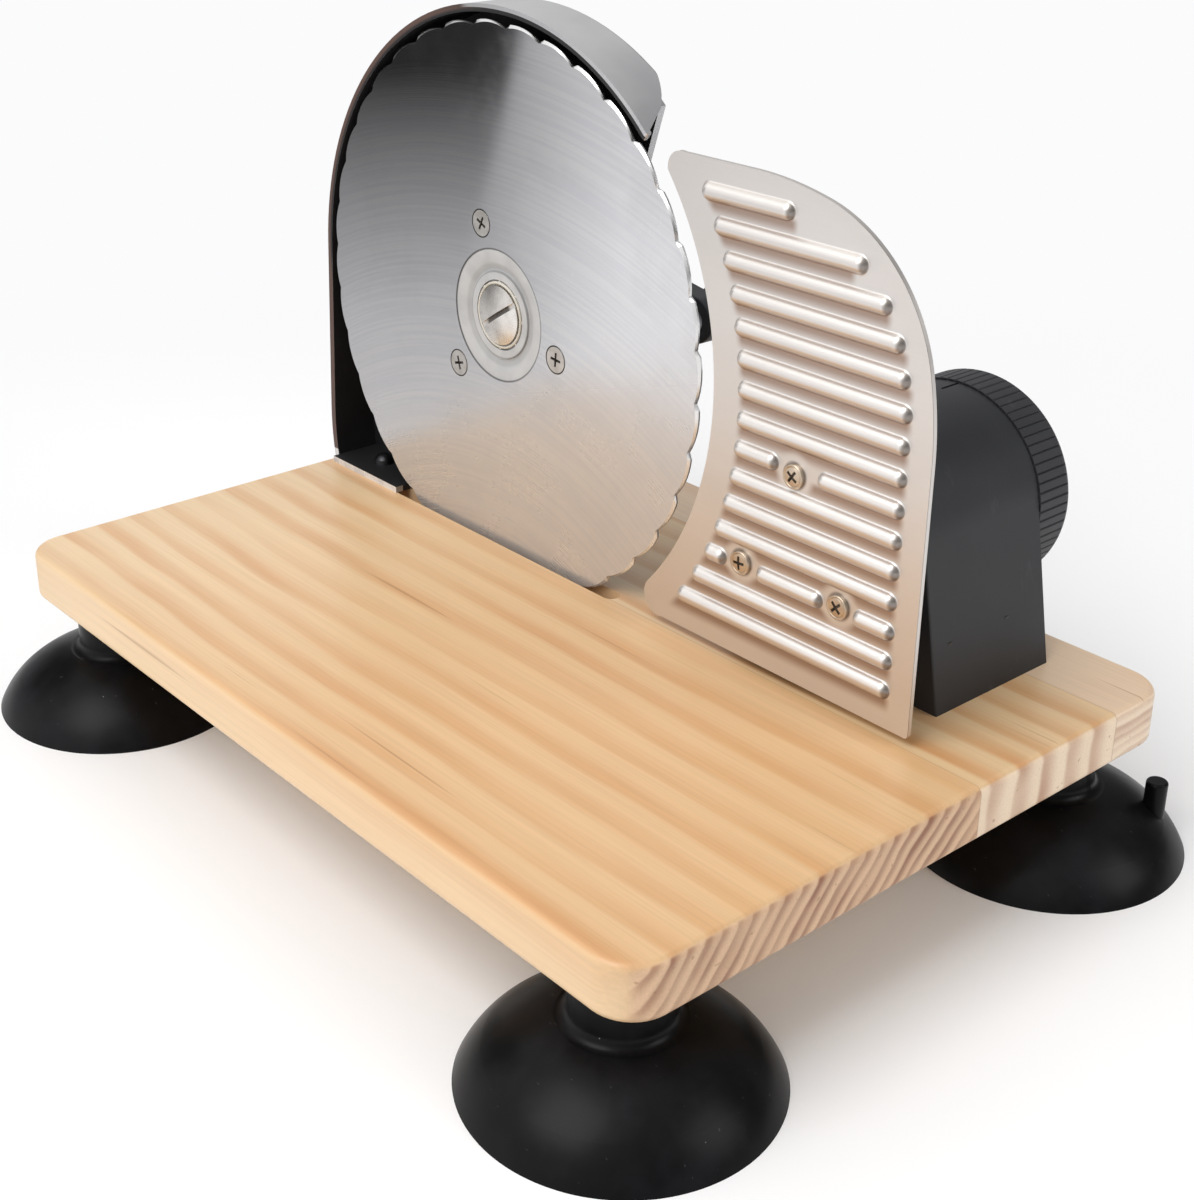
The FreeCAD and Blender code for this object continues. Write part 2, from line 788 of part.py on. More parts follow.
def hood_band():
    """The band of the wall, from its near end over the top and down to the foot."""
    outer = float(v.hood_radius)
    inner = outer - float(v.hood_wall)
    end = float(v.hood_front_end)
    start, knee, via, foot = side_steps(0.0)
    steps = [polar(outer, end), polar(outer, end / 2) + start, knee, via + foot]
    start, knee, via, foot = side_steps(float(v.hood_wall))
    return steps + [foot, via + knee, start, polar(inner, end / 2) + polar(inner, end)]


def hood_back():
    """The rear wall: a slanting edge that passes outside the gear down to the foot."""
    outer = float(v.hood_radius)
    height = float(v.blade_axis_height)
    end = float(v.hood_back_end)
    top = polar(outer, end)
    cover = float(v.gear_radius + v.hood_gear_cover)
    bend = 0.85 * cover
    shoulder = (top[0] + float(v.hood_back_slope) * (top[1] - bend), bend)
    waist = (-0.8 * cover, -bend)
    reach = float(v.hood_foot_reach)
    start, knee, via, foot = side_steps(0.0)
    return [top, polar(outer, end / 2) + start, knee, via + foot, (-reach, -height),
            (1.5 - reach, (waist[1] - height) / 2) + waist, (-cover, 0.0) + shoulder]


def make_hood():
    body = new_body("blade_hood", v.blade_plane, v.blade_axis_y, blade_z)
    wall_start = v.hood_depth - v.hood_wall
    back = new_sketch(body, "YZ_Plane", wall_start)
    outline(back, hood_back())
    pad(body, back, v.hood_wall)
    band = new_sketch(body, "YZ_Plane")
    outline(band, hood_band())
    pad(body, band, v.hood_depth)
    knee, via = side_steps(0.0)[1:3]

    def on_outside(edge):
        middle = edge.valueAt((edge.FirstParameter + edge.LastParameter) / 2)
        on_round = abs(math.hypot(middle.y, middle.z) - float(v.hood_radius)) < 0.01
        on_side = middle.z < 0 and middle.y > min(knee[0], via[0]) - 3.0
        return ends_at(edge, 0, v.hood_depth) and (on_round or on_side)

    fillet(body, v.hood_edge, on_outside)
    trim_hood_end(body)
    hood_bosses(body)
    hood_flanges(body)


def trim_hood_end(body):
    """Cut the near end of the band on a slant, with a rounded rear corner."""
    middle = (float(v.hood_front_end) + float(v.hood_back_end)) / 2
    depth = float(v.hood_depth)
    reach = float(v.hood_radius)
    front = reach * math.cos(math.radians(float(v.hood_front_end) - middle + 90.0))
    back = reach * math.cos(math.radians(float(v.hood_back_end) - middle + 90.0))
    slope = (back - front) / depth
    sketch = new_sketch(body, "XY_Plane", reach - 6.0, Rotation(Vector(1, 0, 0), middle - 90.0))
    bend = depth - HOOD_CORNER
    turn = 0.29 * HOOD_CORNER
    outline(sketch, [
        (-1, front + 2.4), (0, front + 1.2), (0.6, front + 0.2, 2.0, front + 2.0 * slope),
        (bend, front + slope * bend),
        (depth - turn, back + turn, depth, back + HOOD_CORNER),
        (depth + 1, back + HOOD_CORNER), (depth + 1, front - 30), (-1, front - 30),
    ])
    pocket(body, sketch, 12.0, along=True)


def hood_bosses(body):
    """The boss on the back that carries the axle and the crank shaft, and its bores."""
    centre_y, centre_z = polar(gear_offset / 2, v.crank_direction)
    boss = new_sketch(body, "YZ_Plane", v.hood_depth)
    circle(boss, centre_y, centre_z, v.hood_boss)
    pad(body, boss, v.hood_boss_depth)
    seat = new_sketch(body, "YZ_Plane", axle_seat)
    circle(seat, 0, 0, 6.4)
    pad(body, seat, v.hood_depth - v.hood_wall - axle_seat + OVERLAP)
    thread = new_sketch(body, "YZ_Plane")
    circle(thread, 0, 0, AXLE_THREAD + v.seat_fit)
    pocket(body, thread, axle_seat + AXLE_THREAD_LENGTH + 0.95, along=True)
    bush = new_sketch(body, "YZ_Plane")
    y, z = polar(gear_offset, v.crank_direction)
    circle(bush, y, z, v.bush_diameter / 2 + v.seat_fit)
    pocket(body, bush, v.hood_depth + v.hood_boss_depth + 1, along=True)


def hood_flanges(body):
    """The front flange on the board and the rear foot, with their screw holes."""
    level = -float(v.blade_axis_height)
    flange = new_sketch(body, "XY_Plane", level)
    rectangle(flange, -3.0, 57.5, v.hood_depth - 1.0, v.hood_radius - 1.5)
    pad(body, flange, v.hood_flange)
    foot = new_sketch(body, "XY_Plane", level)
    rear = float(v.hood_depth)
    edge = rear + FOOT_WIDTH
    outline(foot, [
        (rear - 1, FOOT_NEAR), (edge - 9, FOOT_NEAR), (edge - 2, FOOT_NEAR + 2.5, edge, FOOT_NEAR + 10),
        (edge, FOOT_FAR - 10), (edge - 2, FOOT_FAR - 2.5, edge - 9, FOOT_FAR), (rear - 1, FOOT_FAR),
    ])
    pad(body, foot, v.hood_flange)
    for y in GUSSETS_Y:
        gusset = new_sketch(body, "XZ_Plane", -y)
        outline(gusset, [(rear - 1, level + 1), (rear + GUSSET_REACH, level + 1),
                         (rear + GUSSET_REACH, level + 4), (rear, level + GUSSET_RISE),
                         (rear - 1, level + GUSSET_RISE)])
        pad(body, gusset, GUSSET_WIDTH, midplane=True)
    holes = new_sketch(body, "XY_Plane", level)
    for x, y in hood_screw_places():
        circle(holes, x - v.blade_plane, y - v.blade_axis_y, WOOD_SCREW_SHANK + v.seat_fit)
    pocket(body, holes, v.hood_flange + 1, along=True)


def make_hood_screws():
    screw = new_body("hood_screw", kept=False)
    rim = HOOD_SCREW_HEAD - 0.3
    tip, via = dome(1.6, rim, 2.0)
    turned(screw, [(0, 0), (0, HOOD_SCREW_HEAD), (1.6, rim), via + tip])
    shank = new_sketch(screw, "YZ_Plane")
    circle(shank, 0, 0, WOOD_SCREW_SHANK)
    pad(screw, shank, WOOD_SCREW_GRIP + v.hood_flange, along=False)
    upright = Rotation(Vector(0, 1, 0), -90)
    spots = [moved(x, y, board_top + v.hood_flange, upright) for x, y in hood_screw_places()]
    group("hood_screws", screw, spots)


# Crank

def make_crank_shaft():
    body = new_body("crank_shaft", v.blade_plane, crank_y, crank_z)
    back = float(v.blade_thickness)
    radius = float(shaft_radius)
    start = back + float(v.gear_web) + 0.5
    pinion_end = back + float(v.gear_depth) + SEAT_GAP
    stop = float(arm_stop)
    turned(body, [(start + 0.6, 0), (start + 0.6, radius - 0.6), (start + 1.2, radius),
                  (pinion_end, radius), (pinion_end, SHAFT_COLLAR), (pinion_end + 1.1, SHAFT_COLLAR),
                  (pinion_end + 1.1, radius), (stop, radius), (stop, 2.0),
                  (stop - 11, 2.0), (stop - 11, 0)])
    flats = new_sketch(body, "YZ_Plane", arm_start)
    reach = 6.0
    rectangle(flats, -reach, SHAFT_FLAT, reach, reach)
    rectangle(flats, -reach, -reach, reach, -SHAFT_FLAT)
    pocket(body, flats, v.arm_thickness + 1, along=True)
    pinion = new_body("crank_pinion", v.blade_plane, crank_y, crank_z)
    module = float(v.gear_module)
    pitch_radius = module * float(v.pinion_teeth) / 2
    sketch = new_sketch(pinion, "YZ_Plane", back + float(v.gear_web) + 1.5)
    tooth = math.pi * module / 2 - float(v.gear_backlash) / 2
    outline(sketch, gear_steps(int(v.pinion_teeth.value), pitch_radius - 1.25 * module,
                               pitch_radius + module, tooth, pitch_radius))
    circle(sketch, 0, 0, shaft_radius + v.seat_fit)
    pad(pinion, sketch, v.gear_depth - v.gear_web - 1.5)
    bush = new_body("shaft_bush", v.blade_plane, crank_y, crank_z)
    ring = new_sketch(bush, "YZ_Plane", axle_seat)
    circle(ring, 0, 0, v.bush_diameter / 2)
    circle(ring, 0, 0, shaft_radius + v.running_fit / 2)
    pad(bush, ring, v.hood_depth + v.hood_boss_depth - axle_seat)


def make_crank_arm():
    """The arm: a hub on the shaft's flats that narrows to a round end for the grip."""
    turn = Rotation(Vector(1, 0, 0), float(v.crank_turn))
    body = new_body("crank_arm", v.blade_plane, crank_y, crank_z, turn)
    hub = float(v.arm_hub)
    end = float(v.arm_end)
    reach = float(v.crank_radius)
    lean = math.degrees(math.acos((hub - end) / reach))
    upper_hub = polar(hub, lean)
    lower_hub = polar(hub, -lean)
    upper_end = polar(end, lean)
    lower_end = polar(end, -lean)
    blade_of_arm = new_sketch(body, "YZ_Plane", arm_start)
    outline(blade_of_arm, [
        lower_hub, (reach + lower_end[0], lower_end[1]),
        (reach + end, 0, reach + upper_end[0], upper_end[1]),
        upper_hub, (-hub, 0) + lower_hub,
    ])
    pad(body, blade_of_arm, v.arm_thickness)
    fillet(body, 1.0, lambda edge: ends_at(edge, 0, arm_start) or ends_at(edge, 0, arm_stop))
    seat = new_sketch(body, "YZ_Plane", arm_start, Rotation(Vector(0, 0, 1), -float(v.crank_turn)))
    radius = float(shaft_radius + v.seat_fit)
    flat = SHAFT_FLAT + float(v.seat_fit)
    half = math.sqrt(radius ** 2 - flat ** 2)
    outline(seat, [(-half, -flat), (half, -flat), (radius, 0, half, flat), (-half, flat),
                   (-radius, 0, -half, -flat)])
    pocket(body, seat, v.arm_thickness, along=True)
    eye = new_sketch(body, "YZ_Plane", arm_start)
    circle(eye, v.crank_radius, 0, v.spindle_diameter / 2 + v.seat_fit)
    pocket(body, eye, v.arm_thickness, along=True)


def make_crank_screw():
    body = new_body("crank_screw", v.blade_plane, crank_y, crank_z)
    stop = float(arm_stop)
    tip, via = dome(stop + 1.6, 5.2, 1.4)
    turned(body, [(stop - 10, 0), (stop - 10, 2 - 0.03), (stop, 2 - 0.03), (stop, 5.6),
                  (stop + 1.6, 5.2), via + tip])
    for turn in (20.0, 110.0):
        sketch = new_sketch(body, "YZ_Plane", stop + 3.0, Rotation(Vector(0, 0, 1), turn))
        rectangle(sketch, -2.6, -0.5, 2.6, 0.5)
        pocket(body, sketch, 1.5)


def grip_centre():
    """Where the grip's axis crosses the arm at rest."""
    y, z = polar(v.crank_radius, v.crank_turn)
    return crank_y + y, crank_z + z


def make_grip():
    y, z = grip_centre()
    start = float(arm_stop)
    spindle = float(v.spindle_diameter) / 2
    grip_start = start + 1.2
    grip_end = grip_start + float(v.grip_length)
    radius = float(v.grip_diameter) / 2
    pin = new_body("grip_spindle", v.blade_plane, y, z)
    front = float(arm_start)
    front_tip, front_via = dome(front, spindle, -0.9)
    head_tip, head_via = dome(grip_end - 3.4, 6.2, 1.4)
    turned(pin, [front_tip, front_via + (front, spindle), (start + 0.05, spindle), (start + 0.05, 6.0),
                 (start + 1.0, 6.0), (start + 1.0, spindle), (grip_end - 6.0, spindle),
                 (grip_end - 6.0, 6.2), (grip_end - 3.4, 6.2), head_via + head_tip])
    grip = new_body("crank_grip", v.blade_plane, y, z)
    bore = spindle + float(v.running_fit)
    length = float(v.grip_length)
    turned(grip, [
        (grip_start, bore), (grip_start, 0.68 * radius),
        (grip_start + 0.8, 0.79 * radius, grip_start + 3.0, 0.83 * radius),
        (grip_start + 0.5 * length, radius, grip_end - 6.0, 0.9 * radius),
        (grip_end - 1.6, 0.82 * radius, grip_end, 0.62 * radius),
        (grip_end, 6.6), (grip_end - 6.1, 6.6), (grip_end - 6.1, bore),
    ])


# Fence plate

def rib_spans():
    """The two ends of every rib, as its distance from the blade axis and its height."""
    spans = []
    for row in range(RIBS):
        height = float(v.rib_first) + row * float(v.rib_pitch)
        rise = height - float(v.blade_axis_height)
        here = math.sqrt(float(v.rib_start) ** 2 - rise ** 2)
        for low, high in RIB_BREAKS.get(row, []):
            spans.append((here, low, height))
            here = high
        spans.append((here, SHORT_RIBS.get(row, float(v.rib_end)), height))
    return spans


def plate_steps():
    """The plate's outline seen from the bread side, with the hollow edge round the blade."""
    bottom = float(v.plate_lift)
    top = float(v.plate_top)
    end = -float(v.plate_end)
    hollow = float(v.plate_hollow)
    axis = float(v.blade_axis_height)

    def edge_at(height):
        return -math.sqrt(hollow ** 2 - (height - axis) ** 2)

    nose = bottom + 10.6
    shoulder = top - 6.0
    return [
        (end + 1.2, bottom),
        (end + 99, bottom),
        (end + 107.1, bottom + 4.4, edge_at(nose), nose),
        (-hollow, axis, edge_at(shoulder), shoulder),
        (end + 100.6, top - 1.6, end + 95.7, top),
        (end + 70.7, top),
        (end + 54.7, top - 0.8, end + 42.6, top - 2.9),
        (end + 16.7, top - 16.8, end + 2.9, top - 41.4),
        (end + 0.8, top - 53.3, end, top - 65.5),
        (end, bottom + 1.2),
        (end + 0.35, bottom + 0.35, end + 1.2, bottom),
    ]


def make_fence_plate():
    body = new_body("fence_plate", v.blade_plane, v.blade_axis_y, board_top)
    sketch = new_sketch(body, "YZ_Plane", -v.plate_thickness)
    outline(sketch, plate_steps())
    pad(body, sketch, v.plate_thickness)
    half = float(v.rib_half_width)
    for start, stop, height in rib_spans():
        capsule(body, start, stop, height, -float(v.plate_thickness), half, "PartDesign::Revolution")
    fillet(body, RIB_ROOT, on_rib_root)
    for start, stop, height in rib_spans():
        capsule(body, start + RIB_WALL, stop - RIB_WALL, height, 0.0, half - RIB_WALL, "PartDesign::Groove")
    holes = new_sketch(body, "YZ_Plane")
    for y, height in FENCE_SCREWS:
        circle(holes, y, height, FENCE_SCREW_SHANK + v.seat_fit)
    pocket(body, holes, v.plate_thickness)


def on_rib_root(edge):
    """Whether the edge is where a rib rises out of the sheet's face."""
    middle = edge.valueAt((edge.FirstParameter + edge.LastParameter) / 2)
    reach = float(v.rib_half_width) + 0.01
    inside = [start - 0.01 < -middle.y < stop + 0.01 and abs(middle.z - height) < reach
              for start, stop, height in rib_spans()]
    return ends_at(edge, 0, -v.plate_thickness) and any(inside)


def capsule(body, start, stop, height, face, half, kind):
    """A pressed rib, or the hollow behind it: a bar with ball ends that lies in the sheet's face.

    The ball's radius follows from its width in the face and its rise above it. The bar is
    turned about its own centre line, which lies a little behind the face.
    """
    rise = float(v.rib_height)
    ball = (half ** 2 + rise ** 2) / (2 * rise)
    centre = face - rise + ball
    first = start + half
    last = stop - half
    corner = ball * math.sqrt(0.5)
    sketch = new_sketch(body, "XY_Plane", height)
    outline(sketch, [
        (centre, -first + ball), (centre, -last - ball),
        (centre - corner, -last - corner, centre - ball, -last),
        (centre - ball, -first), (centre - corner, -first + corner, centre, -first + ball),
    ])
    line = sketch.addGeometry(Part.LineSegment(Vector(centre, 0, 0), Vector(centre, 1, 0)))
    sketch.setConstruction(line, True)
    feature = body.newObject(kind, "rib")
    feature.Refine = False
    feature.Profile = sketch
    feature.ReferenceAxis = (sketch, ["Axis0"])
    if kind == "PartDesign::Groove":
        feature.Angle = 360
    else:
        feature.Angle = 180
        feature.Midplane = True


def make_fence_screws():
    screw = new_body("fence_screw", kept=False)
    head = FENCE_SCREW_HEAD
    tip, via = dome(-1.15, head - 1.0, -0.2)
    turned(screw, [tip, via + (-1.15, head - 1.0), (-1.05, head - 0.85), (-1.2, head - 0.5, -0.8, head),
                   (0, head), (0, FENCE_SCREW_SHANK),
                   (FENCE_SCREW_LENGTH, FENCE_SCREW_SHANK), (FENCE_SCREW_LENGTH, 0)])
    cross_recess(screw, -1.4, 2.1, 1.2)
    spots = []
    for number, (y, height) in enumerate(FENCE_SCREWS):
        turn = Rotation(Vector(1, 0, 0), 35.0 + 50.0 * number)
        spots.append(moved(v.blade_plane - v.plate_thickness, v.blade_axis_y + y, board_top + height, turn))
    group("fence_screws", screw, spots)


# Carriage, housing and knob

def arch_steps(radius, foot):
    """An arch about the knob axis with straight sides down to its foot."""
    return [(-radius, foot), (-radius, 0), (0, radius, radius, 0), (radius, foot)]


def make_carriage():
    body = new_body("fence_carriage", v.blade_plane, knob_y, knob_z)
    foot = float(v.carriage_foot - v.knob_height)
    radius = float(v.carriage_radius)
    inner = radius - float(v.carriage_wall)
    shell = new_sketch(body, "YZ_Plane")
    outline(shell, arch_steps(radius, foot))
    pad(body, shell, v.carriage_length)
    hollow = new_sketch(body, "YZ_Plane", v.carriage_face)
    outline(hollow, arch_steps(inner, foot - 1))
    pocket(body, hollow, v.carriage_length, along=True)
    root = v.carriage_face - 0.5
    web = new_sketch(body, "YZ_Plane", root)
    rectangle(web, -inner - 1.0, -CARRIAGE_WEB / 2, inner + 1.0, CARRIAGE_WEB / 2)
    pad(body, web, v.carriage_length - root)
    sleeve = new_sketch(body, "YZ_Plane", root)
    circle(sleeve, 0, 0, v.sleeve_radius)
    pad(body, sleeve, v.carriage_length - root)
    bosses = new_sketch(body, "YZ_Plane", root)
    for y, height in FENCE_SCREWS:
        circle(bosses, y + v.knob_y, height - v.knob_height, FENCE_SCREW_SHANK + 2.0)
    pad(body, bosses, CARRIAGE_BOSS)
    bore = new_sketch(body, "YZ_Plane", v.carriage_face)
    circle(bore, 0, 0, drum_radius + v.running_fit)
    pocket(body, bore, v.carriage_length, along=True)
    holes = new_sketch(body, "YZ_Plane")
    for y, height in FENCE_SCREWS:
        circle(holes, y + v.knob_y, height - v.knob_height, FENCE_SCREW_SHANK + v.seat_fit)
    pocket(body, holes, CARRIAGE_BOSS + 1.0, along=True)
    hole = new_sketch(body, "XY_Plane", 0.0)
    circle(hole, v.follower_place, 0, v.follower_diameter / 2 + v.seat_fit)
    pocket(body, hole, v.sleeve_radius + 1, along=True)


def make_follower():
    """The pin that sticks through the sleeve into the drum's groove."""
    body = new_body("follower_pin", v.blade_plane + v.follower_place, knob_y, knob_z)
    tip = drum_radius - v.cam_depth + 0.3
    sketch = new_sketch(body, "XY_Plane", tip)
    circle(sketch, 0, 0, v.follower_diameter / 2)
    pad(body, sketch, v.sleeve_radius - tip)
    head = new_sketch(body, "XY_Plane", v.sleeve_radius)
    circle(head, 0, 0, v.follower_diameter / 2 + 1.4)
    pad(body, head, 2.0)


def housing_steps(radius, foot):
    """A drafted arch: sides that lean in from the foot and run into the round top."""
    draft = math.radians(float(v.housing_draft))
    side = radius * math.cos(draft)
    high = radius * math.sin(draft)
    base = radius / math.cos(draft) - foot * math.tan(draft)
    return [(-base, foot), (-side, high), (0, radius, side, high), (base, foot)]


def make_housing():
    body = new_body("fence_housing", v.blade_plane, knob_y, knob_z)
    foot = -float(v.knob_height)
    radius = float(v.housing_radius)
    wall = float(v.housing_wall)
    shell = new_sketch(body, "YZ_Plane", v.housing_start)
    outline(shell, housing_steps(radius, foot))
    pad(body, shell, v.housing_length)
    fillet(body, 0.6, lambda edge: ends_at(edge, 0, v.housing_start) and abs(edge.CenterOfMass.z - foot) > 1)
    hollow = new_sketch(body, "YZ_Plane", v.housing_start + v.housing_wall)
    outline(hollow, housing_steps(radius - wall, foot - 1))
    pocket(body, hollow, v.housing_length - 2 * v.housing_wall, along=True)
    bosses = new_sketch(body, "XY_Plane", foot)
    for x, y in housing_screw_places():
        circle(bosses, x - v.blade_plane, y - knob_y, HOUSING_BOSS)
    pad(body, bosses, HOUSING_BOSS_HEIGHT)
    opening = new_sketch(body, "YZ_Plane", v.housing_start - 1)
    gap = float(v.guide_gap)
    outline(opening, arch_steps(float(v.carriage_radius) + gap, float(v.carriage_foot) + foot - gap))
    pocket(body, opening, v.housing_wall + 1, along=True)
    hole = new_sketch(body, "YZ_Plane", housing_stop)
    circle(hole, 0, 0, drum_radius + v.running_fit)
    pocket(body, hole, v.housing_wall)
    screws = new_sketch(body, "XY_Plane", foot)
    for x, y in housing_screw_places():
        circle(screws, x - v.blade_plane, y - knob_y, WOOD_SCREW_SHANK + v.seat_fit)
    pocket(body, screws, WOOD_SCREW_GRIP + 2.0, along=True)
    mark = new_sketch(body, "XY_Plane", radius)
    rectangle(mark, housing_stop - MARK_LENGTH, -MARK_WIDTH / 2, housing_stop + 1, MARK_WIDTH / 2)
    pocket(body, mark, 0.6)


def make_housing_screws():
    screw = new_body("housing_screw", kept=False)
    length = float(v.board_thickness) + WOOD_SCREW_GRIP
    turned(screw, [(0, 0), (0, WOOD_SCREW_SHANK), (length, WOOD_SCREW_SHANK), (length, 0)])
    head = new_sketch(screw, "YZ_Plane")
    circle(head, 0, 0, HOUSING_SCREW_HEAD)
    pad(screw, head, HOUSING_SCREW_HEAD_HEIGHT, along=False)
    upright = Rotation(Vector(0, 1, 0), -90)
    spots = [moved(x, y, v.cup_height, upright) for x, y in housing_screw_places()]
    group("housing_screws", screw, spots)


def make_knob():
    """The knob, its drum with the helical cam groove, and the ring that keeps it in."""
    spare = float(v.cam_spare)
    body = new_body("thickness_knob", v.blade_plane, knob_y, knob_z, Rotation(Vector(1, 0, 0), spare))
    drum = float(drum_radius)
    start = float(v.housing_start) + 1.0
    stop = float(housing_stop)
    wide = float(v.knob_diameter) / 2
    face = stop + 0.2
    end = face + float(v.knob_depth)
    soft = float(v.knob_rounding)
    near_corner = soft * (1 - math.sqrt(0.5))
    groove_start = stop - float(v.housing_wall) - 1.5
    turned(body, [
        (start, 0), (start, drum - 0.8), (start + 0.8, drum), (groove_start, drum),
        (groove_start, drum - 1.1), (groove_start + 1.3, drum - 1.1), (groove_start + 1.3, drum),
        (face, drum), (face, wide), (end - soft, wide),
        (end - near_corner, wide - near_corner, end, wide - soft),
        (end, wide - 8), (end - 1.5, wide - 9.5), (end - 1.5, 0),
    ])
    knob_grooves(body, face, wide)
    cam = new_sketch(body, "XZ_Plane")
    pitch = float(v.fence_travel) * 360.0 / float(v.knob_swing)
    turns = (float(v.knob_swing) + 2 * spare) / 360.0
    middle = float(v.follower_place) - pitch * spare / 360.0
    half_width = float(v.cam_width) / 2
    rectangle(cam, middle - half_width, drum_radius - v.cam_depth, middle + half_width, drum_radius + 1.5)
    doc.recompute()
    before = body.Shape.Volume
    helix = body.newObject("PartDesign::SubtractiveHelix", "cam_groove")
    helix.Profile = cam
    helix.ReferenceAxis = (cam, ["H_Axis"])
    helix.Mode = "pitch-turns-angle"
    helix.Pitch = pitch
    helix.Turns = turns
    helix.LeftHanded = True
    helix.Reversed = False
    doc.recompute()
    if body.Shape.Volume > before - 1.0:
        raise ValueError("the cam groove cuts nothing")


def knob_grooves(body, face, wide):
    """Shallow grooves all round the rim, cut as one star that leaves the rim between them."""
    depth = float(v.knob_groove_depth)
    free = 1.0
    half = float(v.knob_groove_width) / 2 * (1 + free / depth)
    side = math.degrees(half / (wide + free))
    count = int(v.knob_grooves.value)
    steps = []
    for number in range(count):
        angle = number * 360.0 / count
        steps.append(polar(wide + free, angle - side))
        steps.append(polar(wide - depth, angle))
        steps.append(polar(wide + free, angle + side))
    star = new_sketch(body, "YZ_Plane", face)
    outline(star, steps)
    circle(star, 0, 0, wide + 2 * free)
    pocket(body, star, float(v.knob_depth) - 1.5, along=True)


def make_circlip():
    body = new_body("knob_circlip", v.blade_plane, knob_y, knob_z)
    start = housing_stop - v.housing_wall - 1.4
    sketch = new_sketch(body, "YZ_Plane", start)
    inner = float(drum_radius) - 1.07
    outer = float(drum_radius) + 3.0
    gap = 30.0
    outline(sketch, [
        polar(inner, gap), polar(outer, gap), polar(outer, 180.0) + polar(outer, -gap),
        polar(inner, -gap), polar(inner, 180.0) + polar(inner, gap),
    ])
    pad(body, sketch, 1.1)


def check_and_write():
    doc.recompute()
    for item in doc.Objects:
        if "Invalid" in item.State or "Error" in item.State:
            raise ValueError("%s failed: %s" % (item.Name, item.State))
    os.makedirs("parts", exist_ok=True)
    for part in parts:
        shape = part.Shape
        if shape.isNull() or not shape.isValid() or shape.Volume <= 0:
            raise ValueError("%s has no valid shape" % part.Label)
        shape.exportStep("parts/%s.step" % part.Label)
        print(part.Label, "solids", len(shape.Solids), "volume", round(shape.Volume, 1))


make_board()
make_cups()
make_blade()
make_blade_gear()
make_blade_screws()
make_axle()
make_hood()
make_hood_screws()
make_crank_shaft()
make_crank_arm()
make_crank_screw()
make_grip()
make_fence_plate()
make_fence_screws()
make_carriage()
make_follower()
make_housing()
make_housing_screws()
make_knob()
make_circlip()
check_and_write()
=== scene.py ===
# %% [markdown]
# A hand crank bread slicer, dressed for a studio picture. The shapes are all there already: the
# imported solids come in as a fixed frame, and this lesson gives each one the finish that the real
# piece has, then sets the floor, the lights and the camera. The box of the solids is kept first,
# because nothing that follows may make the slicer any larger.

# %% Load the solids
import math

import bpy
import numpy as np
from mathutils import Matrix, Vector


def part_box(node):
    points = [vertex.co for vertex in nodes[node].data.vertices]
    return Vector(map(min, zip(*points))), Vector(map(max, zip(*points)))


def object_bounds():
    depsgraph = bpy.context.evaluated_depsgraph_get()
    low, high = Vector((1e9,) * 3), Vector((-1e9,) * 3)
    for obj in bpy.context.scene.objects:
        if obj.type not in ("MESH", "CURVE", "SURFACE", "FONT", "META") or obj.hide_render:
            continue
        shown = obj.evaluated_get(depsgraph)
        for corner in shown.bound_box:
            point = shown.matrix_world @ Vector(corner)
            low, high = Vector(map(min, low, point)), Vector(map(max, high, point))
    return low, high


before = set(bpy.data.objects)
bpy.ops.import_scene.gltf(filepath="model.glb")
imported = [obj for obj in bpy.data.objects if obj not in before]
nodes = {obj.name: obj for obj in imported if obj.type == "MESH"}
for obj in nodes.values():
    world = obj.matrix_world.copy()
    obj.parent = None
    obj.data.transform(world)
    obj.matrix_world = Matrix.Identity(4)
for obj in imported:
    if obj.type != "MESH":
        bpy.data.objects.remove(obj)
bpy.context.view_layer.update()
SOLIDS_BOX = [list(corner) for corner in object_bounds()]
print("solids:", len(nodes), "box:", SOLIDS_BOX)

# %% [markdown]
# The main places come from the solids themselves, so that a pattern still sits right if a size
# changes: the top of the board, the blade's middle and front face, and the front of the fence.

# %% Measure the main places
SHEET_THICKNESS = 0.0015

BOARD_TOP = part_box("base_board")[1].z
BLADE_LOW, BLADE_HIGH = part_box("blade")
BLADE_FRONT = BLADE_LOW.x
BLADE_MIDDLE = ((BLADE_LOW.y + BLADE_HIGH.y) / 2, (BLADE_LOW.z + BLADE_HIGH.z) / 2)
FENCE_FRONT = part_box("fence_plate")[1].x - SHEET_THICKNESS
print("blade middle, Y and Z:", tuple(round(value, 4) for value in BLADE_MIDDLE))
print("blade radius:", round((BLADE_HIGH.z - BLADE_LOW.z) / 2, 4))

# %% [markdown]
# A material is a tree of nodes, and most of a tree is plain maths: how far a point lies from an
# axis, whether it is past a seam. Written as Python the same maths can be read at a glance, so
# one small class wraps a socket and turns +, -, * and / into Math nodes. A second class holds
# the material, and its one method adds every other kind of node.

# %% Shader maths in Python
def linear(red, green, blue):
    """A colour as it looks on a screen, 0 to 255, turned into the light that it stands for."""
    colour = []
    for value in (red, green, blue):
        share = value / 255
        colour.append(share / 12.92 if share <= 0.04045 else ((share + 0.055) / 1.055) ** 2.4)
    return (*colour, 1.0)


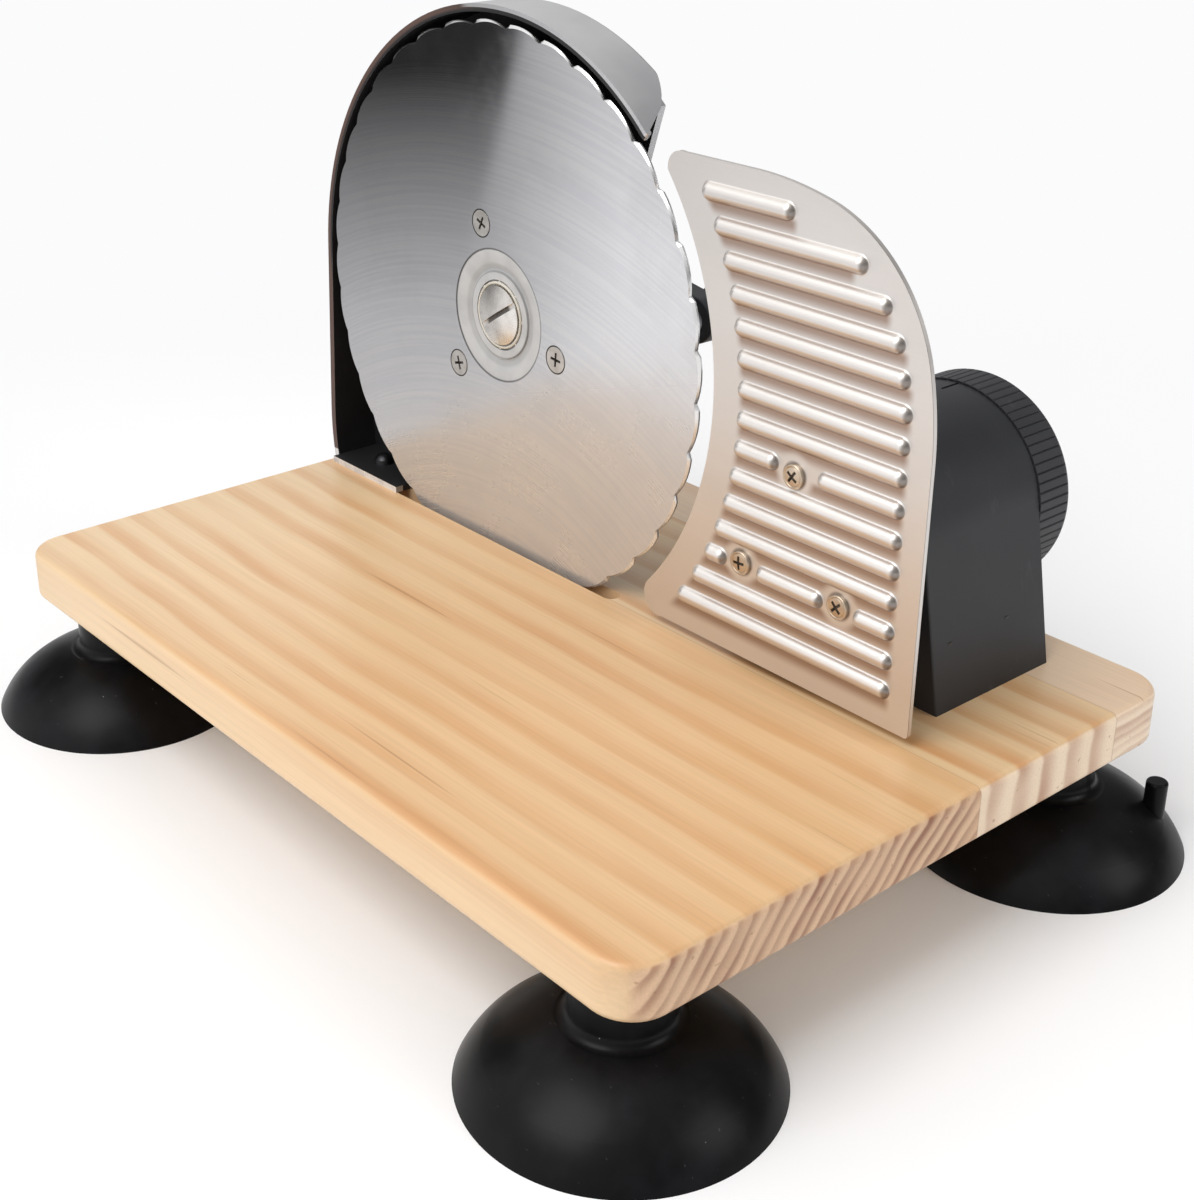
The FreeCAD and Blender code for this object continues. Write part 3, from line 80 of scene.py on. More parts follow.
class Field:
    """A socket whose value changes over the surface, with the operators of a number."""

    def __init__(self, look, socket):
        self.look = look
        self.socket = socket

    def maths(self, operation, *values):
        return self.look.node("ShaderNodeMath", {"operation": operation}, dict(enumerate(values)))

    def __add__(self, other):
        return self.maths("ADD", self, other)

    def __radd__(self, other):
        return self.maths("ADD", other, self)

    def __sub__(self, other):
        return self.maths("SUBTRACT", self, other)

    def __rsub__(self, other):
        return self.maths("SUBTRACT", other, self)

    def __mul__(self, other):
        return self.maths("MULTIPLY", self, other)

    def __rmul__(self, other):
        return self.maths("MULTIPLY", other, self)

    def __truediv__(self, other):
        return self.maths("DIVIDE", self, other)

    def __gt__(self, other):
        return self.maths("GREATER_THAN", self, other)

    def __abs__(self):
        return self.maths("ABSOLUTE", self)

    def root(self):
        return self.maths("SQRT", self)

    def fraction(self):
        return self.maths("FRACT", self)

    def whole(self):
        return self.maths("FLOOR", self)

    def heading(self, across):
        """The direction in degrees of a point that lies this far up and that far across."""
        return self.maths("ARCTAN2", self, across) * math.degrees(1.0)

    def ramp(self, low, high, smooth=True):
        """0 below low, 1 above high, and a smooth rise between them; low may be the higher."""
        kind = "SMOOTHSTEP" if smooth else "LINEAR"
        return self.look.node("ShaderNodeMapRange", {"interpolation_type": kind},
                              {"Value": self, "From Min": low, "From Max": high})


class Look:
    """here is the point's place in the slicer's own frame, and facing is where its surface looks.
    """

    def __init__(self, name):
        self.material = bpy.data.materials.new(name)
        self.material.use_nodes = True
        self.tree = self.material.node_tree
        self.tree.nodes.clear()
        self.here = self.node("ShaderNodeTexCoord", output="Object")
        self.facing = self.node("ShaderNodeTexCoord", output="Normal")

    def node(self, kind, settings=None, inputs=None, output=0):
        """Add a node: its settings first, then values or links for its sockets; one output."""
        node = self.tree.nodes.new(kind)
        for name, value in (settings or {}).items():
            setattr(node, name, value)
        for key, value in (inputs or {}).items():
            if isinstance(value, Field):
                self.tree.links.new(value.socket, node.inputs[key])
            else:
                node.inputs[key].default_value = value
        return Field(self, node.outputs[output])

    def split(self, vector):
        """The three numbers of a vector."""
        first = self.node("ShaderNodeSeparateXYZ", inputs={0: vector})
        return [Field(self, socket) for socket in first.socket.node.outputs]

    def join(self, x, y, z):
        return self.node("ShaderNodeCombineXYZ", inputs={0: x, 1: y, 2: z})

    def stretched(self, scale, at=None):
        """The place on the object, scaled by its own amount along each axis."""
        return self.node("ShaderNodeMapping", inputs={"Vector": at or self.here, "Scale": scale})

    def noise(self, scale, detail=2.0, rough=0.5, at=None):
        """Cloudy noise round 0.5; a scale of three numbers stretches it along the axes."""
        place = self.stretched(scale if isinstance(scale, tuple) else (scale,) * 3, at)
        return self.node("ShaderNodeTexNoise", inputs={
            "Vector": place, "Scale": 1.0, "Detail": detail, "Roughness": rough})

    def specks(self, scale, size, share):
        """Small round specks of about that size in metres; only a share of the cells has one."""
        cells = {"Vector": self.stretched((scale,) * 3), "Scale": 1.0}
        distance = self.node("ShaderNodeTexVoronoi", inputs=cells)
        chance = self.node("ShaderNodeTexVoronoi", inputs=cells, output="Color")
        kept = self.split(chance)[0].ramp(1.0 - share - 0.001, 1.0 - share)
        return distance.ramp(size * scale, size * scale * 0.5) * kept

    def mix(self, share, first, second):
        """A colour between two colours."""
        return self.node("ShaderNodeMix", {"data_type": "RGBA"},
                         {0: share, 6: first, 7: second}, output=2)

    def shaded(self, colour, share):
        """A colour made darker or lighter by a number round 1."""
        return self.node("ShaderNodeVectorMath", {"operation": "SCALE"},
                         {0: colour, "Scale": share})

    def bump(self, height, distance, strength=1.0):
        """Fine relief: a height from 0 to 1 that stands for this distance in metres."""
        return self.node("ShaderNodeBump", inputs={
            "Height": height, "Distance": distance, "Strength": strength})

    def finish(self, **sockets):
        """The surface itself: each name with _ for a space is one of the shader's sockets."""
        inputs = {name.replace("_", " "): value for name, value in sockets.items()}
        surface = self.node("ShaderNodeBsdfPrincipled", inputs=inputs)
        output = self.tree.nodes.new("ShaderNodeOutputMaterial")
        self.tree.links.new(surface.socket, output.inputs["Surface"])
        return self.material


def from_centre(across, up, centre):
    """A point's two distances from a centre, seen along an axis, and the straight distance."""
    across = across - centre[0]
    up = up - centre[1]
    return across, up, (across * across + up * up).root()


def dress(material, *names):
    """Give the solids of these names one finish."""
    for name in names:
        for slot in nodes[name].material_slots:
            slot.material = material
    print(material.name, "on", ", ".join(names))


# %% [markdown]
# The board is pine, glued up from three staves that are cut differently out of the log. Stripes
# painted on the top wouldn't meet the stripes on the ends. So the log itself is modelled: a tree
# grows in rings round its pith, and every stave has its own pith line along Y, somewhere outside
# the board. The distance from that line gives the ring, on every face at once: slanting rings in
# the wide stave, upright ones in the middle stave and nearly flat ones in the narrow one. Each
# stave is given as its pith in X and Z, the width of a ring, and that of a group of slow rings.

# %% Pine board
WIDE_STAVE = ((0.300, -0.250), 0.0043, 0.0098)
MIDDLE_STAVE = ((0.290, 0.030), 0.0118, 0.0236)
NARROW_STAVE = ((0.093, -0.083), 0.0034, 0.0114)
SEAMS = (0.0188, 0.0808)
GLUE_LINE = 0.0003
RING_WANDER = 0.014
RING_RIPPLE = 0.0028


def pine_board():
    """Light pine with a darker band late in each ring, fine fibres, glue lines and varnish."""
    look = Look("board_pine")
    x, y, z = look.split(look.here)
    side_x, side_y, side_z = look.split(look.facing)
    end = abs(side_y).ramp(0.6, 0.85)
    edge = (0.0 - side_x).ramp(0.35, 0.85)
    top = side_z.ramp(0.4, 0.9)
    wander = look.noise((8.0, 4.0, 8.0), detail=3.0) - 0.5
    ripple = look.noise((60.0, 12.0, 60.0), detail=2.0) - 0.5

    def late_wood(pith, ring_width, group_width, ring_share, group_share):
        """Dark where a ring, or a group of slow rings, ends: the distance from the pith says."""
        radius = from_centre(x, z, pith)[2] + wander * RING_WANDER + ripple * RING_RIPPLE
        ring = (radius / ring_width).fraction()
        group = (radius / group_width).fraction()
        ring_end = ring.ramp(0.15, 0.78) * ring.ramp(1.0, 0.82)
        group_end = group.ramp(0.20, 0.72) * group.ramp(1.0, 0.80)
        number = (radius / group_width).whole()
        strong = look.noise(1.0, at=look.join(number * 3.7, y * 6.0, 0.0)).ramp(0.30, 0.62)
        return ring_end * ring_share + group_end * (0.35 + strong * 0.65) * group_share

    # second is 1 from the middle stave on, and third is 1 in the narrow stave alone.
    second = x > SEAMS[0]
    third = x > SEAMS[1]
    wide = late_wood(*WIDE_STAVE, 0.05 + end * 0.75, 0.74 - end * 0.36)
    middle = late_wood(*MIDDLE_STAVE, 0.85, 0.15)
    narrow = late_wood(*NARROW_STAVE, 0.25 + end * 0.10, 0.45)
    late = (wide * (1 - second) + middle * (second - third) + narrow * third) * (1 - edge * 0.65)
    # Fibres are long threads on the sides, and on an end the same threads are cut to pores.
    fibre = look.noise((1000.0, 16.0, 1000.0), detail=3.0, rough=0.6)
    pores = look.noise((1500.0, 1500.0, 1500.0), detail=2.0)
    streak = look.noise((420.0, 9.0, 420.0), detail=1.0).ramp(0.72, 0.80)
    tint = look.noise((5.0, 1.3, 5.0), detail=1.0)
    patch = look.noise((40.0, 9.0, 40.0), detail=2.0).ramp(0.3, 0.7)
    grain = fibre * (1 - end) + pores * end
    glue = sum(abs(x - seam).ramp(GLUE_LINE, GLUE_LINE / 3) for seam in SEAMS)

    # The wide stave is riper and darker towards the fence, and the narrow one is pale sapwood.
    ripe = y.ramp(0.16, -0.03) * (1 - second * 0.7) * (0.35 + top * 0.65)
    light = look.mix(tint.ramp(0.35, 0.65), linear(229, 199, 159), linear(225, 192, 148))
    light = look.mix(ripe * 0.85, light, linear(220, 180, 132))
    light = look.mix(third * 0.8, light, linear(230, 202, 174))
    # End faces take the end grain's own pale colour. On the middle and narrow staves it is made
    # paler still: painted light for the side lamp that falls on those ends.
    end_colour_and_light = look.mix(second, linear(220, 178, 148), linear(248, 226, 200))
    end_band = look.mix(second, linear(150, 100, 72), linear(186, 138, 106))
    light = look.mix(end * (0.5 + second * 0.3), light, end_colour_and_light)
    band = look.mix(end, linear(204, 146, 92), end_band)
    colour = look.mix(late * (0.45 + patch * 0.55), light, band)
    colour = look.shaded(colour, 1.04 - grain.ramp(0.3, 0.75) * 0.09)
    colour = look.mix(streak * 0.45 + glue * 0.30, colour, linear(150, 104, 62))
    specks = look.specks(70.0, 0.0006, 0.02) * (1 - end)
    colour = look.mix(specks * 0.6, colour, linear(112, 74, 44))
    rough = 0.36 + look.noise(60.0) * 0.10 + end * 0.12
    height = late * 0.4 + grain * 0.6
    return look.finish(Base_Color=colour, Roughness=rough, Coat_Weight=0.25, Coat_Roughness=0.22,
                       Normal=look.bump(height, 0.00002, 0.4))


dress(pine_board(), "base_board")

# %% [markdown]
# The suction cups are moulded in soft black rubber. Black rubber is never quite black: it has
# wide soft highlights, a faint bloom where it was handled, and pale dust that sticks to it. The
# highlights come from the roughness, and the dust is a sprinkle of tiny specks.

# %% Rubber cups
def cup_rubber():
    """Black rubber with a soft sheen, cloudy bloom and a few dust specks."""
    look = Look("cup_rubber")
    bloom = look.noise(34.0, detail=4.0, rough=0.6).ramp(0.42, 0.72)
    skin = look.noise(1500.0, detail=2.0)
    dust = look.specks(160.0, 0.00026, 0.10)
    lint = look.noise((900.0, 240.0, 500.0), detail=2.0).ramp(0.735, 0.76)
    colour = look.mix(bloom, linear(13, 13, 14), linear(24, 24, 27))
    colour = look.mix(dust * 0.7 + lint * 0.08, colour, linear(170, 168, 165))
    rough = 0.30 + bloom * 0.10 + dust * 0.3
    return look.finish(Base_Color=colour, Roughness=rough, Specular_IOR_Level=0.13,
                       Normal=look.bump(skin + look.noise(300.0) * 1.5, 0.00001, 0.4))


dress(cup_rubber(), "cup_near_left", "cup_near_right", "cup_far_left", "cup_far_right")

# %% [markdown]
# The blade is stainless steel, ground flat on a wheel. The wheel leaves long shallow arcs that
# are all centred on one point far from the blade's own axis. Noise that depends only on the
# distance from that point gives those arcs, and a little on the angle breaks them into strokes.
# The bevel at the rim is ground the other way, round the axis, and is brighter. Low on the blade
# the bread has rubbed the arcs away; dark rings round the hub and screw heads are painted shade.

# %% Ground steel blade
GRIND_CENTRE = (BLADE_MIDDLE[0] + 0.005, BLADE_MIDDLE[1] - 0.176)
HUB_RADIUS = 0.0223
SCREW_CIRCLE = 0.0307
SCREW_HEAD = 0.00435
SCREW_HEADINGS = [math.radians(heading) for heading in (74.5, 194.5, 314.5)]
BLADE_SCREWS = [(BLADE_MIDDLE[0] + SCREW_CIRCLE * math.cos(heading),
                 BLADE_MIDDLE[1] + SCREW_CIRCLE * math.sin(heading))
                for heading in SCREW_HEADINGS]


def nearest(y, z, places):
    """How far a point is, seen along X, from the nearest of the given places."""
    distance, *others = [from_centre(y, z, place)[2] for place in places]
    for other in others:
        distance = distance.maths("MINIMUM", distance, other)
    return distance


def blade_steel():
    """Ground steel: arcs from the grinding wheel, faint smears, and a bright bevel."""
    look = Look("blade_steel")
    x, y, z = look.split(look.here)
    side, _, reach = from_centre(y, z, GRIND_CENTRE)
    hairs = look.noise((4200.0, 1.0, 1.0), detail=2.0, at=look.join(reach, side * 16.0, 0.0))
    sweeps = look.noise((800.0, 1.0, 1.0), detail=1.0, at=look.join(reach, side * 12.0, 0.0))
    off_y, off_z, radius = from_centre(y, z, BLADE_MIDDLE)
    # The bevel is where the surface leans, and the rubbed part grows downwards.
    bevel = abs(look.split(look.facing)[0]).ramp(0.985, 0.94)
    rubbed = (0.0 - off_z - off_y * 0.30).ramp(-0.020, 0.050)
    turned = look.noise((5200.0, 1.0, 1.0), detail=2.0, at=look.join(radius, 0.0, 0.0))
    smear = look.noise(30.0, detail=4.0, rough=0.6).ramp(0.42, 0.72)
    scratch = look.noise((140.0, 2600.0, 160.0), detail=1.0).ramp(0.76, 0.80)
    # Painted shade: a dark ring round each screw head and along the hub's edge, where parts meet.
    to_screw = nearest(y, z, BLADE_SCREWS)
    screw_ring_shade = (to_screw.ramp(SCREW_HEAD - 0.0002, SCREW_HEAD)
             * to_screw.ramp(SCREW_HEAD + 0.0006, SCREW_HEAD + 0.0003))
    hub_line = radius.ramp(HUB_RADIUS + 0.0005, HUB_RADIUS)
    face = look.mix(sweeps.ramp(0.35, 0.65), linear(202, 202, 204), linear(208, 207, 207))
    face = look.shaded(face, 1.0 + hairs * 0.04 - smear * 0.06)
    face = look.mix(scratch * (0.5 - rubbed * 0.4), face, linear(232, 232, 232))
    colour = look.mix(bevel, face, linear(232, 232, 232))
    colour = look.mix(screw_ring_shade * 0.95 + hub_line * 0.7, colour, linear(48, 45, 43))
    plain = 0.05 + hairs * 0.04 + smear * 0.07 + rubbed * 0.20
    rough = plain * (1 - bevel) + bevel * (0.2 + turned * 0.1) + screw_ring_shade * 0.3
    height = (hairs * 1.1 + sweeps * 0.26) * (1 - bevel) * (1 - rubbed) + turned * bevel * 0.3
    return look.finish(Base_Color=colour, Metallic=1.0 - rubbed * 0.36, Roughness=rough,
                       Normal=look.bump(height, 0.00001, 0.5))


dress(blade_steel(), "blade")

# %% [markdown]
# The hub is a gear moulded in pale grey nylon, and only its dished front shows. Moulded nylon is
# slightly cloudy and satin, with a faint swirl round the gate in its middle. The washer on it is
# the same kind of thing in cream. Dark rings on both are painted shade where the surface steps or
# meets the next part, and each ring is given as its radius, its half width and how dark it is.

# %% Nylon hub and washer
def moulded_nylon(name, light, dark, shade_rings):
    """Satin nylon with a cloudy tint, faint flow rings and painted shade in the given rings."""
    look = Look(name)
    x, y, z = look.split(look.here)
    radius = from_centre(y, z, BLADE_MIDDLE)[2]
    cloud = look.noise(90.0, detail=3.0).ramp(0.35, 0.7)
    flow = look.noise((700.0, 1.0, 1.0), at=look.join(radius, 0.0, 0.0))
    colour = look.shaded(look.mix(cloud, light, dark), 0.98 + flow * 0.04)
    # Painted shade: each ring darkens the nylon where the surface steps or meets the next part.
    for middle, width, strength in shade_rings:
        ring_shade = abs(radius - middle).ramp(width, width * 0.3)
        colour = look.mix(ring_shade * strength, colour, linear(96, 94, 92))
    return look.finish(Base_Color=colour, Roughness=0.42 + cloud * 0.08,
                       Normal=look.bump(look.noise(2200.0) + flow, 0.00001, 0.4))


HUB_SHADE_RINGS = ((0.0222, 0.0004, 0.75), (0.0163, 0.0018, 0.22), (0.0146, 0.0004, 0.5))
WASHER_SHADE_RINGS = ((0.0102, 0.0004, 0.6),)
dress(moulded_nylon("gear_nylon", linear(188, 189, 189), linear(176, 177, 178), HUB_SHADE_RINGS),
      "blade_gear")
dress(moulded_nylon("washer_cream", linear(212, 207, 196), linear(197, 192, 180), WASHER_SHADE_RINGS),
      "axle_washer")

# %% [markdown]
# Screws, studs and shafts are small metal parts with a fine tumbled surface. What tells them
# apart is their plating: zinc on what hardly shows, black oxide on the hood's screws, and the
# bush is bare bronze. Colour and roughness are all that change between them.

# %% Small parts in zinc, black oxide and bronze
def small_metal(name, light, dark, rough, tumble):
    """A plated small part: cloudy plating, fine scratches and dull spots."""
    look = Look(name)
    cloud = look.noise(170.0, detail=3.0).ramp(0.35, 0.7)
    scratch = look.noise((2600.0, 2600.0, 380.0), detail=3.0, rough=0.7)
    dull = look.noise(620.0, detail=2.0).ramp(0.55, 0.75)
    colour = look.shaded(look.mix(cloud, light, dark), 1.0 - dull * 0.10)
    return look.finish(Base_Color=colour, Metallic=1.0,
                       Roughness=rough + scratch * 0.12 + dull * 0.10,
                       Normal=look.bump(scratch + look.noise(900.0), tumble, 0.5))


dress(small_metal("zinc_steel", linear(196, 197, 199), linear(172, 174, 178), 0.28, 0.00002),
      "cup_studs", "housing_screws", "crank_shaft", "crank_pinion", "crank_screw",
      "grip_spindle", "follower_pin", "knob_circlip")
dress(small_metal("black_oxide", linear(74, 74, 76), linear(56, 56, 59), 0.34, 0.00002),
      "hood_screws")
dress(small_metal("bush_bronze", linear(190, 146, 92), linear(166, 122, 74), 0.34, 0.00003),
      "shaft_bush")

# %% [markdown]
# The heads that face the bread are bright nickel, with painted shade in their slots and crosses.
# A head's top is a shallow bowl: so far back in X at its middle, and further by the radius squared
# times its bend. A point that lies deeper than that, near the middle, is in the recess.

# %% Screw heads in nickel
def screw_steel(name, light, dark, rough, places, recess, bowl, depth):
    """Nickel, with painted shade within the recess's radius where it is deeper than the head's
    bowl.
    """
    look = Look(name)
    x, y, z = look.split(look.here)
    radius = nearest(y, z, places)
    deep = (x - bowl[0] - radius * radius * bowl[1]).ramp(depth, depth + 0.0004)
    # Painted shade: the recess turns dark brown and loses its metal.
    recess_shade = deep * radius.ramp(recess + 0.0002, recess - 0.0002)
    cloud = look.noise(240.0, detail=3.0).ramp(0.35, 0.7)
    scratch = look.noise((500.0, 2600.0, 1300.0), detail=3.0, rough=0.7)
    colour = look.shaded(look.mix(cloud, light, dark), 0.96 + scratch * 0.08)
    colour = look.mix(recess_shade * 0.9, colour, linear(52, 44, 38))
    return look.finish(Base_Color=colour, Metallic=1.0 - recess_shade, Roughness=rough + scratch * 0.12,
                       Normal=look.bump(scratch, 0.00001, 0.5))


FENCE_SCREWS = [(BLADE_MIDDLE[0] + along, BOARD_TOP + up)
                for along, up in ((-0.1358, 0.0672), (-0.1169, 0.0338), (-0.1550, 0.0336))]
FENCE_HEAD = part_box("fence_screws")[0].x
dress(screw_steel("bolt_nickel", linear(226, 222, 216), linear(208, 203, 197), 0.22,
                  [BLADE_MIDDLE], 0.0098, (BLADE_FRONT - 0.0012, 15.0), 0.0009),
      "axle_bolt")
dress(screw_steel("screw_nickel", linear(206, 202, 196), linear(188, 183, 176), 0.26,
                  BLADE_SCREWS, 0.0030, (BLADE_FRONT, 0.0), 0.0002),
      "blade_screws")
dress(screw_steel("fence_screw_nickel", linear(208, 194, 176), linear(190, 174, 156), 0.30,
                  FENCE_SCREWS, 0.0024, (FENCE_HEAD + 0.0002, 40.0), 0.0002),
      "fence_screws")

# %% [markdown]
# The hood is die cast. Outside it has a silver lacquer with a fine sparkle, and inside it is
# sprayed black so that it doesn't glare behind the blade. The two meet on the narrow front rim.
# Where a point lies and which way it faces tell which it is. At the far end the silver beside the
# rim and the rim's outer edge carry a painted brown reflection. On the flange's lip the black has
# worn off.

# %% Hood lacquer
HOOD_LOW, HOOD_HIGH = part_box("blade_hood")
HOOD_RADIUS = HOOD_HIGH.z - BLADE_MIDDLE[1]
HOOD_BACK_WALL = BLADE_FRONT + 0.0172
HOOD_BACK_FACE = BLADE_FRONT + 0.0200
FLANGE_TOP = BOARD_TOP + 0.004
A_HAIR = 0.0001


def hood_lacquer():
    """Silver lacquer outside and black inside, with a painted brown reflection by the rim's far
    end.
    """
    look = Look("hood_cast")
    x, y, z = look.split(look.here)
    side_x, side_y, side_z = look.split(look.facing)
    off_y, off_z, radius = from_centre(y, z, BLADE_MIDDLE)
    # Which part of the casting a point belongs to: over the flange or before the rear wall.
    above = z > FLANGE_TOP
    before_wall = 1 - (x > HOOD_BACK_WALL)
    far = off_y.ramp(-0.005, 0.035)
    outward = (side_y * off_y + side_z * off_z) / radius
    # Black: what faces the axis between rim and wall, the wall's front, the rim and the flange.
    between = (x > BLADE_FRONT + A_HAIR) * (1 - (x > HOOD_BACK_FACE - A_HAIR))
    inside = outward.ramp(-0.25, -0.45) * between
    towards = side_x.ramp(-0.5, -0.8)
    pocket = towards * (1 - before_wall) * (1 - (x > HOOD_BACK_FACE))
    rim = towards * before_wall * above
    rim_black = rim * (radius.ramp(HOOD_RADIUS - 0.0010, HOOD_RADIUS - 0.0016) + far).ramp(0.2, 0.8)
    # Painted brown reflection on the rim's outer edge at the far end.
    rim_brown_reflection = rim * far * radius.ramp(HOOD_RADIUS - 0.0022, HOOD_RADIUS - 0.0010)
    # Painted brown reflection beside the rim's edge, and the lip of the flange worn back to metal.
    brown_reflection = (x - HOOD_LOW.x).ramp(0.0045, 0.0008) * far * (1 - inside) * above
    lip = side_x.ramp(-0.3, -0.7) * (1 - above) * before_wall
    foot_top = side_z.ramp(0.7, 0.9) * (1 - above) * before_wall
    black = (inside + pocket + rim_black + foot_top).ramp(0.2, 0.8)
    sparkle = look.noise(5200.0, detail=1.0)
    cloud = look.noise(26.0, detail=3.0).ramp(0.35, 0.7)
    brushed = look.noise(60.0, detail=5.0, rough=0.7)
    silver = look.mix(cloud, linear(205, 205, 206), linear(188, 188, 190))
    silver = look.shaded(silver, 0.97 + sparkle * 0.10 + brushed * 0.08)
    silver = look.mix(brown_reflection * 0.9, silver, linear(74, 56, 50))
    silver = look.mix(lip * brushed.ramp(0.35, 0.55), silver, linear(232, 231, 229))
    coal = look.mix(cloud, linear(22, 22, 23), linear(32, 32, 34))
    coal = look.mix(rim_brown_reflection, coal, linear(88, 66, 58))
    colour = look.mix(black, silver, coal)
    metal = (1 - black) * 0.85 * (1 - brown_reflection * 0.8) * (1 - lip * 0.7)
    rough = 0.34 + brushed * 0.08 + black * 0.14
    return look.finish(Base_Color=colour, Metallic=metal, Roughness=rough,
                       Normal=look.bump(look.noise(1400.0) + brushed, 0.00003, 0.4))


dress(hood_lacquer(), "blade_hood")

# %% [markdown]
# The fence is a stainless sheet with a warm satin finish. It was brushed along Y before the ribs
# were pressed, so the fine lines run on over them. The upper side of each rib has a painted
# highlight. Its lower side and the sheet just below it have painted brown shade, and the rounded
# tips a painted dark reflection. The rows are found from their pitch and the first one's height.
# They begin at one distance from the blade's axis and end in line, and from the eleventh row on
# each ends sooner than the one below it, as the sheet's corner curves.

# %% Satin steel fence
RIB_FIRST = BOARD_TOP + 0.0146
RIB_PITCH = 0.00906
RIB_START = 0.1130
RIB_END = 0.1752
LAST_ROW = 14.0
LAST_FULL_ROW = 9.0
ROW_SHORTENING = 0.00035


def below_ribs(y, z):
    """How far below the row over it a point lies, 0 to 1 of the pitch, and where that row runs."""
    height = (z - RIB_FIRST) / RIB_PITCH
    row = height.whole() + 1.0
    along, _, radius = from_centre(y, z, BLADE_MIDDLE)
    later = row.maths("MAXIMUM", row - LAST_FULL_ROW, 0.0)
    end = RIB_END - later * later * later * ROW_SHORTENING
    within = radius.ramp(RIB_START - 0.001, RIB_START + 0.002) * (end + along).ramp(-0.001, 0.002)
    return row - height, within * row.ramp(-0.6, -0.4) * row.ramp(LAST_ROW + 0.6, LAST_ROW + 0.4)


def fence_steel():
    """Warm satin steel, brushed along Y, with a painted highlight over the ribs and painted shade
    under them.
    """
    look = Look("fence_steel")
    x, y, z = look.split(look.here)
    brushed = look.noise((1700.0, 16.0, 1700.0), detail=3.0, rough=0.65)
    cloud = look.noise((16.0, 7.0, 16.0), detail=3.0).ramp(0.35, 0.7)
    _, turned, tilt = look.split(look.facing)
    front = (FENCE_FRONT - x).ramp(-0.0004, 0.0)
    # Painted light by facing: brown shade on what faces down, a highlight on what faces up, and a
    # dark reflection on the rib ends.
    under_shade = (0.0 - tilt).ramp(0.10, 0.80) * front
    above = tilt.ramp(-0.03, 0.35) * front
    tip_reflection = (0.0 - turned).ramp(0.18, 0.62) * front
    far_tip_reflection = turned.ramp(0.30, 0.75) * front
    # Painted shadow below each rib, left out round the screws, and painted shade in the gap round
    # their heads.
    depth, rows = below_ribs(y, z)
    to_screw = nearest(y, z, FENCE_SCREWS)
    clear = front * rows * to_screw.ramp(0.0050, 0.0080)
    rib_shadow = depth.ramp(0.12, 0.34) * depth.ramp(0.80, 0.38) * clear
    gap_shade = to_screw.ramp(0.0048, 0.0038) * front
    colour = look.mix(cloud, linear(218, 213, 209), linear(210, 205, 200))
    colour = look.shaded(colour, 0.97 + brushed * 0.06)
    colour = look.mix(under_shade * 0.30, colour, linear(152, 128, 110))
    colour = look.mix(rib_shadow * 0.9, colour, linear(158, 134, 119))
    colour = look.mix(above * 0.7, colour, linear(245, 240, 235))
    colour = look.mix(gap_shade * 0.6, colour, linear(92, 76, 64))
    colour = look.mix(tip_reflection * 0.65 + far_tip_reflection * 0.4, colour, linear(88, 74, 64))
    rough = 0.34 + brushed * 0.10
    return look.finish(Base_Color=colour, Metallic=0.88, Roughness=rough,
                       Normal=look.bump(brushed, 0.000004, 0.3))


dress(fence_steel(), "fence_plate")

# %% [markdown]
# The housing, the knob, the crank's arm and the grip are moulded in black plastic. The mould was
# spark eroded, so the skin has a fine even grain that breaks up the light. Hands have left faint
# rub marks on it, a little paler and shinier. The knob is a shade lighter than the rest.

# %% Black plastic
def black_plastic(name, light, dark, rough):
    """Dark moulded plastic: fine spark grain, a cloudy tint and faint rub marks."""
    look = Look(name)
    grain = look.noise(2400.0, detail=2.0, rough=0.6)
    cloud = look.noise(22.0, detail=3.0).ramp(0.35, 0.7)
    rub = look.noise((120.0, 120.0, 30.0), detail=4.0, rough=0.7).ramp(0.60, 0.78)
    colour = look.mix(cloud, dark, light)
    colour = look.mix(rub * 0.25, colour, linear(84, 85, 88))
    return look.finish(Base_Color=colour, Roughness=rough + grain * 0.12 - rub * 0.06,
                       Specular_IOR_Level=0.45, Normal=look.bump(grain, 0.00003, 0.35))


dress(black_plastic("eroded_black", linear(42, 43, 46), linear(35, 36, 39), 0.42),
      "fence_housing", "fence_carriage", "crank_grip", "crank_arm")
dress(black_plastic("knob_plastic", linear(50, 50, 54), linear(42, 43, 46), 0.44), "thickness_knob")

# %% [markdown]
# The floor is a plain pale sheet, far larger than the slicer, so that its edge never shows. Near
# the slicer the lights fall on it and it takes the soft shadows. Further out they would leave it
# grey, so there it glows by itself instead, as a lit white sweep does in a studio.

# %% Floor
FLOOR_RADIUS = 12.0
FLOOR_SIDES = 96
GLOW_BEGINS = 0.26
GLOW_FULL = 0.62


def pale_floor():
    """White with the faintest mottle, which turns into an even glow away from the slicer."""
    look = Look("studio_floor")
    x, y, z = look.split(look.here)
    glow = (x * x + y * y).root().ramp(GLOW_BEGINS, GLOW_FULL)
    mottle = look.noise(3.0, detail=2.0)
    colour = look.mix(mottle, linear(248, 248, 249), linear(252, 252, 252))
    colour = look.mix(glow, colour, (0.0, 0.0, 0.0, 1.0))
    light = look.mix(glow, (0.0, 0.0, 0.0, 1.0), linear(251, 251, 252))
    return look.finish(Base_Color=colour, Roughness=0.85 + mottle * 0.05, Specular_IOR_Level=0.0,
                       Emission_Color=light, Emission_Strength=1.0)


def flat_sheet(name, corners, material):
    """One flat face through the given corners, which belongs to the studio."""
    mesh = bpy.data.meshes.new(name)
    mesh.from_pydata(corners, [], [list(range(len(corners)))])
    mesh.materials.append(material)
    sheet = bpy.data.objects.new(name, mesh)
    bpy.context.scene.collection.objects.link(sheet)
    return sheet


